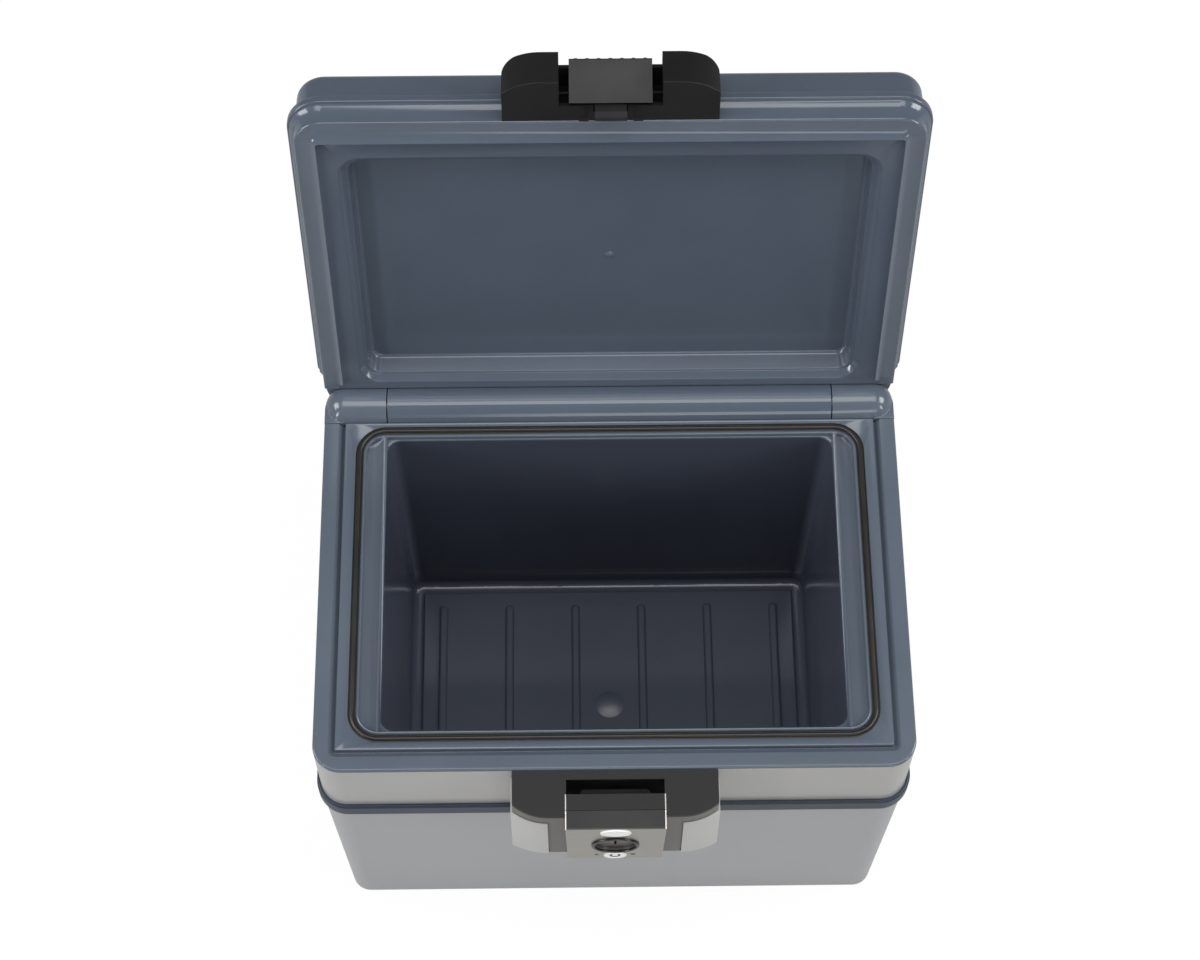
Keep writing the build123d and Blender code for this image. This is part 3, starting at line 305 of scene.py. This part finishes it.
# %% [markdown]
# Two finishes are left. The oval plate and the round mark are bare, light plates: glossy white ABS with a
# hint of grey. The fire fill is cast mineral foam, pale and chalky, and nothing shows it as long as the
# shells are closed, but a cut through the chest would.

# %% Light plates and mineral fill
plate_white = moulded("gloss_abs_white_plate", "#e6e6e3", "#dfdfdc", rough=0.22, grain_mm=0.6,
                      grain_depth_mm=0.004, drift_mm=12)
mineral_fill = moulded("cast_mineral_foam", "#cfcbc2", "#aba79d", rough=0.9, grain_mm=3.0,
                       grain_depth_mm=0.6, drift_mm=14)
print("last finishes:", plate_white.name, mineral_fill.name)

# %% [markdown]
# Each solid now gets its finish. The solids keep their own meshes; only their material slots are filled.
# Three of them, the two linings and the gasket, are replaced further on by pieces of the same finish.

# %% Dress the solids
finishes = {
    liner_plastic: ["deck_liner"],
    lid_plastic_shaded: ["lid_liner"],
    shell_plastic: ["lid_shell"],
    flange_plastic_shaded: ["flange_collar"],
    band_paint: ["upper_band"],
    tub_paint: ["lower_tub"],
    cover_paint: ["lock_cover"],
    pad_paint: ["lock_pads"],
    housing_abs: ["lock_housing", "lock_panel"],
    latch_abs: ["latch_housing"],
    lever_abs: ["latch_lever"],
    gasket_rubber: ["rim_gasket"],
    panel_metal: ["panel_cover"],
    ring_chrome: ["key_ring"],
    plug_metal: ["key_plug"],
    plain_steel: ["hinge_pins", "lock_screws", "barrel_nut", "lock_cam", "cam_nut", "latch_screws"],
    black_oxide: ["keeper_plate", "latch_pin", "latch_spring"],
    zinc_casting: ["lock_barrel"],
    plate_white: ["badge_plate", "lock_dot"],
    mineral_fill: ["body_insulation", "lid_insulation"],
}
for finish, names in finishes.items():
    for name in names:
        slots = cad[name].data.materials
        slots.clear()
        slots.append(finish)
dressed = sorted(name for names in finishes.values() for name in names)
print("dressed", len(dressed), "of", len(cad), "solids; left:", sorted(set(cad) - set(dressed)))

# %% [markdown]
# The pieces below need the same few steps each time, so they are written once: put a mesh, lamp or camera
# in the scene; merge points that lie on each other; turn modifiers into a plain mesh, which the export
# needs; and shade a mesh smooth except at its real edges.

# %% Helpers for pieces with a shape of their own
MERGE_WITHIN = 0.000002
SHARP_DEGREES = 32


def in_scene(name, data):
    """A new object with the given data, linked to the scene."""
    thing = bpy.data.objects.new(name, data)
    bpy.context.scene.collection.objects.link(thing)
    return thing


def merge(work):
    """Merges the points of a bmesh that lie on each other."""
    bmesh.ops.remove_doubles(work, verts=work.verts, dist=MERGE_WITHIN)


def make_plain(piece):
    """Turns a piece's modifiers into a plain mesh and removes them."""
    now = bpy.context.evaluated_depsgraph_get()
    piece.data = bpy.data.meshes.new_from_object(piece.evaluated_get(now))
    piece.modifiers.clear()


def shade(mesh, sharp_degrees=SHARP_DEGREES):
    """Smooth shading with sharp edges past an angle."""
    mesh.shade_smooth()
    mesh.set_sharp_from_angle(angle=radians(sharp_degrees))


def joint(name):
    """A joint of the frame by its name."""
    return next(j for j in frame["joints"] if j["name"] == name)


# %% [markdown]
# On the real chest the lid's tongue is a wedge: its outer flank slopes at about 45 degrees down to a narrow
# crest, and it wedges into a groove in the rim with the same slope. The solids have the same tongue and
# groove with upright walls. A finished copy of each lining gets the slope by moving the few rows of points
# that lie on those walls. The copy of a CAD mesh is loose triangles, so its doubles are merged first. Each
# point's place across the tongue is its inset: how far it lies inside the rim's outline, measured straight
# in along the sides and along the corner's radius at the corners.

# %% Inset from the rim's outline
RIM_HALF_X = 0.200
RIM_HALF_Y = 0.144
CORNER_INSET = 0.0161


def inset_and_outwards(x, y):
    """How far a point lies inside the rim's outline, and the level direction that leads out."""
    dx = abs(x) - (RIM_HALF_X - CORNER_INSET)
    dy = -y - (RIM_HALF_Y - CORNER_INSET)
    if dx > 0 and dy > 0:
        out = Vector((dx, dy)).normalized()
        reach = Vector((dx, dy)).length
    else:
        out = Vector((1.0, 0.0)) if dx > dy else Vector((0.0, 1.0))
        reach = max(dx, dy)
    side = 1.0 if x > 0 else -1.0
    return CORNER_INSET - reach, Vector((out.x * side, -out.y, 0.0))


for x, y in ((0.19, 0.0), (0.0, -0.13), (-0.192, -0.137)):
    print("point", (x, y), "inset in mm", round(inset_and_outwards(x, y)[0] * 1000, 2))

# %% [markdown]
# The flank's line says which inset the slope has at each depth below the rim. The groove's slope starts
# near the rim's outer wall, and the tongue's runs beside it with 0.6 mm to spare, so the lid still shuts
# without touching. Every wall point is moved along its outward direction onto that line. The groove's old
# walls are known by their insets: at the rim's level they have a small bevel, which sets them apart there.

# %% Where the points go
LID_GAP = 0.0012
SLOPE = 0.92
FLANK_GAP = 0.0006
TONGUE_FOOT = 0.0096
TONGUE_BACK = 0.0142
TONGUE_OUTER, TONGUE_INNER = 0.0102, 0.0130
TONGUE_OLD_HEIGHT, TONGUE_HEIGHT = 0.0056, 0.0046
GROOVE_LIP = TONGUE_FOOT + SLOPE * LID_GAP - FLANK_GAP
GROOVE_OLD_DEPTH, GROOVE_DEPTH = 0.0064, 0.0039
OUTER_BEVEL, OUTER_WALL = 0.0090, 0.0096
INNER_WALL, INNER_BEVEL = 0.0136, 0.0142
BEVEL_DEPTH = 0.0003
NEAR = 0.00012
SLACK = 0.0001


def near(a, b):
    """Whether two lengths are the same within the mesh's own rounding."""
    return abs(a - b) < NEAR


def groove_point(point):
    """Moves a point of the groove's walls onto the slope, or returns nothing."""
    inset, outwards = inset_and_outwards(point.x, point.y)
    depth = RIM - point.z
    if not -SLACK < depth < GROOVE_OLD_DEPTH + SLACK:
        return None
    new_depth = GROOVE_DEPTH if near(depth, GROOVE_OLD_DEPTH) else depth
    if near(inset, OUTER_BEVEL) and depth < BEVEL_DEPTH or near(inset, OUTER_WALL) and depth > BEVEL_DEPTH:
        new_inset = GROOVE_LIP + SLOPE * new_depth
    elif near(inset, INNER_WALL) and depth > BEVEL_DEPTH:
        new_inset = TONGUE_BACK + FLANK_GAP
    elif near(inset, INNER_BEVEL) and depth < BEVEL_DEPTH:
        new_inset = TONGUE_BACK + 2 * FLANK_GAP
    else:
        return None
    return Vector((point.x, point.y, RIM - new_depth)) + outwards * (inset - new_inset)


def tongue_point(point):
    """Moves a point of the tongue, given with the lid shut, onto the slope, or returns nothing."""
    inset, outwards = inset_and_outwards(point.x, point.y)
    height = RIM + LID_GAP - point.z
    if not -SLACK < height < TONGUE_OLD_HEIGHT + SLACK:
        return None
    if not TONGUE_OUTER - SLACK < inset < TONGUE_INNER + SLACK:
        return None
    new_height = height * TONGUE_HEIGHT / TONGUE_OLD_HEIGHT
    flank = TONGUE_FOOT + SLOPE * new_height
    across = (inset - TONGUE_OUTER) / (TONGUE_INNER - TONGUE_OUTER)
    new_inset = flank + across * (TONGUE_BACK - flank)
    return Vector((point.x, point.y, RIM + LID_GAP - new_height)) + outwards * (inset - new_inset)


print("groove's lip at an inset of", round(GROOVE_LIP * 1000, 2), "mm")

# %% [markdown]
# The solid's floor has a shallow round dish near the front, where the real one is level. The rule for the
# chest's own lining therefore also lifts the dish's points to the floor's height.

# %% Level the dish
FLOOR_Z = 0.046
DISH_Y, DISH_RADIUS, DISH_DEPTH = -0.051, 0.011, 0.0016
DISH_EDGE = 0.00005


def deck_point(point):
    """Moves a point of the groove's walls, or lifts one of the solid's dish to the floor's level."""
    beside = Vector((point.x, point.y - DISH_Y)).length
    if beside < DISH_RADIUS - DISH_EDGE and SLACK < FLOOR_Z - point.z < DISH_DEPTH + SLACK:
        return Vector((point.x, point.y, FLOOR_Z))
    return groove_point(point)


print("dish", round(DISH_DEPTH * 1000, 1), "mm deep")

# %% [markdown]
# The rules above are for a shut lid, but at rest the lid stands open. So each of its points is first turned
# to where it is on the shut chest, moved there, and turned back. Weighted normals keep large flat faces
# flat beside the small rounded ones when the copy is shaded smooth.

# %% The two linings
def reshaped(node, move, turn, material, body):
    """A merged copy of a CAD node's mesh with some points moved, in place of the node."""
    mesh = cad[node].data.copy()
    mesh.name = node + "_finished"
    work = bmesh.new()
    work.from_mesh(mesh)
    merge(work)
    moved = 0
    for vertex in work.verts:
        target = move(turn @ vertex.co)
        if target is not None:
            vertex.co = turn.inverted() @ target
            moved += 1
    work.to_mesh(mesh)
    work.free()
    mesh.materials.clear()
    mesh.materials.append(material)
    shade(mesh)
    piece = in_scene(node + "_finished", mesh)
    weigh = piece.modifiers.new("weigh", "WEIGHTED_NORMAL")
    weigh.keep_sharp = True
    weigh.weight = 100
    make_plain(piece)
    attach(piece, body)
    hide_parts(node)
    print(piece.name, "points moved:", moved, "faces:", len(piece.data.polygons))


hinge = joint("lid_hinge")
hinge_at = Vector(hinge["pos_m"])
lid_turn = Matrix.Rotation(radians(hinge["range_deg"][1]), 4, "X")
shut = Matrix.Translation(hinge_at) @ lid_turn @ Matrix.Translation(-hinge_at)
reshaped("deck_liner", deck_point, Matrix.Identity(4), liner_plastic, "chest")
reshaped("lid_liner", tongue_point, shut, lid_plastic_shaded, "lid")

# %% [markdown]
# Where the plastic was let into the mould, the pocket's floor has a low, round boss. The mould was not
# polished there, so the boss is duller than the floor. A round form comes from half its outline: here an
# arc over the top and a short step down, each point of which makes one ring. Neighbouring rings are joined
# by faces, and one point closes the top and one the foot. The rings are written out one by one rather than
# spun and merged, because then the points come in the same order on every run.

# %% The boss on the pocket's floor
BOSS_Y, BOSS_RADIUS, BOSS_HEIGHT, BOSS_FOOT = -0.0072, 0.0107, 0.0018, 0.0005
ARC_STEPS, RING_POINTS = 8, 64
# The boss is darker than the rim, like the pocket's walls: painted shade, as theirs is. Its higher roughness
# is its own dull finish.
boss_plastic_shaded = moulded("moulded_polypropylene_boss", "#454b59", "#3d4350", rough=0.36, grain_mm=0.7,
                       grain_depth_mm=0.02, drift_mm=30)
ball = (BOSS_RADIUS ** 2 + BOSS_HEIGHT ** 2) / (2 * BOSS_HEIGHT)
turns = [asin(BOSS_RADIUS / ball) * (i + 1) / ARC_STEPS for i in range(ARC_STEPS)]
rings = [(ball * sin(turn), ball * cos(turn) - ball + BOSS_HEIGHT) for turn in turns]
rings.append((BOSS_RADIUS, -BOSS_FOOT))
round_once = [2 * pi * i / RING_POINTS for i in range(RING_POINTS)]
points = [(reach * cos(a), BOSS_Y + reach * sin(a), FLOOR_Z + up) for reach, up in rings for a in round_once]
top, foot = len(points), len(points) + 1
last_ring = top - RING_POINTS
points += [(0.0, BOSS_Y, FLOOR_Z + BOSS_HEIGHT), (0.0, BOSS_Y, FLOOR_Z - BOSS_FOOT)]
faces = []
for i in range(RING_POINTS):
    j = (i + 1) % RING_POINTS
    faces.append((top, i, j))
    for inner in range(0, last_ring, RING_POINTS):
        outer = inner + RING_POINTS
        faces.append((inner + i, outer + i, outer + j, inner + j))
    faces.append((foot, last_ring + j, last_ring + i))
boss_mesh = bpy.data.meshes.new("floor_boss")
boss_mesh.from_pydata(points, [], faces)
boss_mesh.materials.append(boss_plastic_shaded)
shade(boss_mesh)
boss = in_scene("floor_boss", boss_mesh)
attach(boss, "chest")
print("boss has", len(boss_mesh.polygons), "faces, top at", round(FLOOR_Z + BOSS_HEIGHT, 4))

# %% [markdown]
# The gasket is one rubber cord pressed into a seat round the opening. Its section is a rounded bead with a
# fine channel along each side, where the lips of the extrusion meet the seat. A cord of one section that
# follows a path is the plainest use of Geometry Nodes: a rounded rectangle is the path, the section is a
# second curve, and Curve to Mesh sweeps one along the other. The sizes are named inputs of the tree. Two
# helpers make a tree with named inputs and run it.

# %% Helpers for Geometry Nodes
def new_tree(name, sizes):
    """An empty Geometry Nodes tree with named length inputs and one mesh output."""
    tree = bpy.data.node_groups.new(name, "GeometryNodeTree")
    for label in sizes:
        tree.interface.new_socket(label, in_out="INPUT", socket_type="NodeSocketFloat")
    tree.interface.new_socket("Mesh", in_out="OUTPUT", socket_type="NodeSocketGeometry")
    return tree


def end_tree(tree, mesh, material):
    """Ends a tree with real geometry in one material."""
    real = add(tree, "GeometryNodeRealizeInstances", {}, {"Geometry": mesh})
    painted = add(tree, "GeometryNodeSetMaterial", {"Material": material},
                  {"Geometry": real.outputs["Geometry"]})
    add(tree, "NodeGroupOutput", {}, {"Mesh": painted.outputs["Geometry"]})


def grown(tree, sizes, name, body):
    """Runs a tree on an empty mesh with the given sizes and keeps the plain mesh that comes out."""
    piece = in_scene(name, bpy.data.meshes.new(name))
    modifier = piece.modifiers.new(name, "NODES")
    modifier.node_group = tree
    for item in tree.interface.items_tree:
        if item.item_type == "SOCKET" and item.in_out == "INPUT":
            modifier[item.identifier] = sizes[item.name]
    bpy.context.view_layer.update()
    make_plain(piece)
    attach(piece, body)
    print(name, "has", len(piece.data.polygons), "faces")
    return piece


# %% [markdown]
# The section is drawn in millimetres as a closed polyline: up one side, over a crown and down the other,
# with the channels beside the bead. It is drawn once, centred on the cord, and the sweep carries it round.
# Its height runs against the curve's own Y, hence the minus sign.

# %% The gasket's path and section
gasket_low, gasket_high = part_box("rim_gasket")
GASKET_WIDTH = 0.0056
GASKET_RADIUS = 0.021
GASKET_SHARP = 38
CORNER_POINTS = 14
gasket_sizes = {
    "Width": gasket_high.x - gasket_low.x - GASKET_WIDTH,
    "Depth": gasket_high.y - gasket_low.y - GASKET_WIDTH,
    "Corner radius": GASKET_RADIUS - GASKET_WIDTH / 2,
    "Middle y": (gasket_high.y + gasket_low.y) / 2,
    "Top z": gasket_high.z,
}
right_half = [(0.0, 0.0), (0.55, -0.08), (1.1, -0.35), (1.5, -0.9), (1.7, -1.6), (2.0, -1.6), (2.3, -1.15),
              (2.65, -1.15), (2.8, -1.5), (2.8, -4.6)]
section = [(-x, z) for x, z in reversed(right_half[1:])] + right_half
section_mesh = bpy.data.meshes.new("gasket_section")
section_mesh.from_pydata([(x / 1000, -z / 1000, 0.0) for x, z in section],
                         [(i, (i + 1) % len(section)) for i in range(len(section))], [])
section_object = bpy.data.objects.new("gasket_section", section_mesh)

tree = new_tree("swept_gasket", gasket_sizes)
sizes_in = add(tree, "NodeGroupInput")
path = add(tree, "GeometryNodeCurvePrimitiveQuadrilateral", {},
           {"Width": sizes_in.outputs["Width"], "Height": sizes_in.outputs["Depth"]})
rounded = add(tree, "GeometryNodeFilletCurve", {"Count": CORNER_POINTS},
              {"Curve": path.outputs["Curve"], "Radius": sizes_in.outputs["Corner radius"]}, mode="POLY")
shift = add(tree, "ShaderNodeCombineXYZ", {},
            {"Y": sizes_in.outputs["Middle y"], "Z": sizes_in.outputs["Top z"]})
placed = add(tree, "GeometryNodeTransform", {},
             {"Geometry": rounded.outputs["Curve"], "Translation": shift.outputs["Vector"]})
drawn = add(tree, "GeometryNodeObjectInfo", {"Object": section_object})
profile = add(tree, "GeometryNodeMeshToCurve", {}, {"Mesh": drawn.outputs["Geometry"]})
swept = add(tree, "GeometryNodeCurveToMesh", {"Fill Caps": False},
            {"Curve": placed.outputs["Geometry"], "Profile Curve": profile.outputs["Curve"]})
end_tree(tree, swept.outputs["Mesh"], gasket_rubber)

gasket = grown(tree, gasket_sizes, "gasket_cord", "chest")
work = bmesh.new()
work.from_mesh(gasket.data)
merge(work)
bmesh.ops.recalc_face_normals(work, faces=work.faces)
work.to_mesh(gasket.data)
work.free()
shade(gasket.data, GASKET_SHARP)
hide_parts("rim_gasket")
print("gasket's lowest corner:", [round(c, 4) for c in gasket.bound_box[0]], "top", round(gasket_high.z, 4))

# %% [markdown]
# A dark arc is printed on the round plate, and a small open and a small closed ring beside it say which way
# the key turns. They are generic signs of the builder's own. Print has next to no thickness, but a mark
# that shows should still be a real shape: each one is a flat band, a tenth of a millimetre thick, that
# follows an arc. One tree makes all three from a radius, a start, a sweep and a band's width. The lock's
# face leans by a few degrees, and so do the marks.

# %% The printed marks' tree
LEAN = radians(2.9)
INK_THICK = 0.0001
key_at = Vector(joint("key_turn")["pos_m"])
face_up = Vector((0.0, -sin(LEAN), cos(LEAN)))
face_out = Vector((0.0, -cos(LEAN), -sin(LEAN)))
mark_ink = moulded("pad_printed_ink", "#1d1d1f", "#18181a", rough=0.5, grain_mm=0.3, grain_depth_mm=0.002,
                   drift_mm=6)

arc_tree = new_tree("printed_arc", ["Radius", "Start", "Sweep", "Band", "x", "y", "z"])
sizes_in = add(arc_tree, "NodeGroupInput")
arc = add(arc_tree, "GeometryNodeCurveArc", {"Resolution": 40},
          {"Radius": sizes_in.outputs["Radius"], "Start Angle": sizes_in.outputs["Start"],
           "Sweep Angle": sizes_in.outputs["Sweep"]})
band = add(arc_tree, "GeometryNodeCurvePrimitiveQuadrilateral", {"Height": INK_THICK},
           {"Width": sizes_in.outputs["Band"]})
ribbon = add(arc_tree, "GeometryNodeCurveToMesh", {"Fill Caps": True},
             {"Curve": arc.outputs["Curve"], "Profile Curve": band.outputs["Curve"]})
spot = add(arc_tree, "ShaderNodeCombineXYZ", {},
           {"X": sizes_in.outputs["x"], "Y": sizes_in.outputs["y"], "Z": sizes_in.outputs["z"]})
stood = add(arc_tree, "GeometryNodeTransform", {"Rotation": (pi / 2 + LEAN, 0.0, 0.0)},
            {"Geometry": ribbon.outputs["Mesh"], "Translation": spot.outputs["Vector"]})
end_tree(arc_tree, stood.outputs["Geometry"], mark_ink)
print("printed marks lean by", round(LEAN, 4), "radians")

# %% [markdown]
# Each mark is told by its place across the face and below the key, how far its ground stands proud of the
# panel, and its arc: radius, start and sweep in degrees, and the band's width.

# %% Print the three marks
marks = {
    "dot_arc": (0.0, 0.0255, 0.0004, 0.0030, 130.0, 280.0, 0.0013),
    "open_ring": (-0.0120, 0.0245, 0.0, 0.0013, 60.0, 260.0, 0.0007),
    "closed_ring": (0.0120, 0.0245, 0.0, 0.0013, 0.0, 359.0, 0.0007),
}
for name, (across, down_face, proud, radius, start, sweep, width) in marks.items():
    at = key_at - down_face * face_up + (proud + INK_THICK / 2) * face_out
    sizes = {"Radius": radius, "Start": radians(start), "Sweep": radians(sweep), "Band": width,
             "x": across, "y": at.y, "z": at.z}
    grown(arc_tree, sizes, name, "chest")

# %% [markdown]
# The camera stands above the front of the chest and looks steeply down, a little turned and tilted. Its
# place and angles are given the way a photographer would say them, and turned into a matrix here: right,
# up and back are the camera's own three axes.

# %% Camera
CAMERA_AT = Vector((-0.0231, -0.7404, 1.9093))
PITCH, YAW, ROLL = radians(63.63), radians(1.12), radians(-0.46)
forward = Vector((sin(YAW) * cos(PITCH), cos(YAW) * cos(PITCH), -sin(PITCH)))
level = forward.cross(Vector((0, 0, 1))).normalized()
below = forward.cross(level)
right = cos(ROLL) * level + sin(ROLL) * below
down = -sin(ROLL) * level + cos(ROLL) * below
camera_data = bpy.data.cameras.new("camera")
camera_data.sensor_width = 36.0
camera_data.lens = 78.70
camera = in_scene("camera", camera_data)
axes = Matrix((right, -down, -forward)).transposed()
camera.matrix_world = Matrix.Translation(CAMERA_AT) @ axes.to_4x4()
bpy.context.scene.camera = camera
print("camera looks along", [round(c, 3) for c in forward])

# %% [markdown]
# The studio is a white floor under soft light. A product photographer lights the floor until it is
# pure white, which also floods the object. Here the floor instead shows white to the camera through its
# Light Path, and only a part of it takes real light, so that the chest keeps its own colours and a faint
# shadow under it. Glossy reflections see the floor at about half that white, because the chest's fronts
# mirror the floor before them, and full white would wash them out. The world does the same: white to
# the camera, and a dim, even room to everything else.

# %% Floor and world
SHOWN_WHITE = 0.96
MIRRORED_WHITE = 0.56
PAPER_GREY = 0.86
ROOM_LIGHT = 0.22
WHITE = (1.0, 1.0, 1.0, 1.0)
floor_material = blank(bpy.data.materials, "matt_white_paper_floor")
tree = floor_material.node_tree
path = add(tree, "ShaderNodeLightPath")
shown = add(tree, "ShaderNodeMath", {},
            {0: path.outputs["Is Camera Ray"], 1: path.outputs["Is Transmission Ray"]}, operation="MAXIMUM")
seen = add(tree, "ShaderNodeMath", {}, {0: shown.outputs[0], 1: path.outputs["Is Glossy Ray"]},
           operation="MAXIMUM")
share = add(tree, "ShaderNodeMath", {1: SHOWN_WHITE}, {0: seen.outputs[0]}, operation="MULTIPLY")
strength = add(tree, "ShaderNodeMapRange", {"To Min": MIRRORED_WHITE, "To Max": 1.0},
               {"Value": shown.outputs[0]})
paper = add(tree, "ShaderNodeBsdfDiffuse", {"Color": (PAPER_GREY, PAPER_GREY, PAPER_GREY, 1.0)})
glow = add(tree, "ShaderNodeEmission", {"Color": WHITE}, {"Strength": strength.outputs["Result"]})
mixed = add(tree, "ShaderNodeMixShader", {}, {0: share.outputs[0], 1: paper.outputs[0], 2: glow.outputs[0]})
add(tree, "ShaderNodeOutputMaterial", {}, {"Surface": mixed.outputs[0]})

FLOOR_HALF = 6.0
mesh = bpy.data.meshes.new("floor")
corners = [(-FLOOR_HALF, -FLOOR_HALF, 0), (FLOOR_HALF, -FLOOR_HALF, 0),
           (FLOOR_HALF, FLOOR_HALF, 0), (-FLOOR_HALF, FLOOR_HALF, 0)]
mesh.from_pydata(corners, [], [(0, 1, 2, 3)])
mesh.materials.append(floor_material)
floor = in_scene("floor", mesh)

world = blank(bpy.data.worlds, "studio")
bpy.context.scene.world = world
tree = world.node_tree
path = add(tree, "ShaderNodeLightPath")
room = add(tree, "ShaderNodeBackground", {"Color": WHITE, "Strength": ROOM_LIGHT})
white = add(tree, "ShaderNodeBackground", {"Color": WHITE, "Strength": 1.0})
mixed = add(tree, "ShaderNodeMixShader", {},
            {0: path.outputs["Is Camera Ray"], 1: room.outputs[0], 2: white.outputs[0]})
add(tree, "ShaderNodeOutputWorld", {}, {"Surface": mixed.outputs[0]})
print("floor of", 2 * FLOOR_HALF, "metres, shown white share", SHOWN_WHITE)

# %% [markdown]
# Seven soft boxes light the chest: a broad one overhead, two large banks at the sides, a low one in front
# and a low one behind, and two narrow strips that draw bright lines along the lid's and the rim's rounded
# edges. Large lamps give soft shadows, and their size also sets how wide a highlight is on a satin surface.
# A lamp that a large flat face mirrors towards the camera would wipe out that face's colour, so the lamps
# stand off those directions. The one behind is kept out of reflections altogether, because the top of
# the shut lid would mirror it to a low camera.

# %% Lights
def soft_box(name, place, target, size, power):
    """A rectangular area lamp that points at a target."""
    data = bpy.data.lights.new(name, "AREA")
    data.shape = "RECTANGLE"
    data.size, data.size_y = size
    data.energy = power
    lamp = in_scene(name, data)
    away = (Vector(place) - Vector(target)).normalized()
    turned = away.to_track_quat("Z", "Y").to_matrix().to_4x4()
    lamp.matrix_world = Matrix.Translation(Vector(place)) @ turned
    return lamp


soft_box("overhead", (0.0, -0.1, 2.6), (0, 0, 0.25), (2.2, 1.1), 32)
soft_box("low_front", (0.5, -2.2, 0.95), (0, 0, 0.25), (1.4, 0.6), 9)
rear = soft_box("low_back", (0.3, 2.2, 0.8), (0, 0, 0.3), (1.8, 0.8), 8)
rear.visible_glossy = False
soft_box("left_bank", (-1.8, -0.1, 1.4), (0, 0, 0.25), (0.9, 0.9), 24)
soft_box("right_bank", (1.8, 0.0, 1.5), (0, 0, 0.25), (0.9, 0.9), 26)
soft_box("left_strip", (-1.5, -1.1, 0.6), (0, 0, 0.3), (0.14, 0.7), 7)
soft_box("right_strip", (1.5, -0.9, 0.9), (0, 0, 0.3), (0.14, 0.7), 5)

bpy.context.scene.view_settings.view_transform = "Standard"
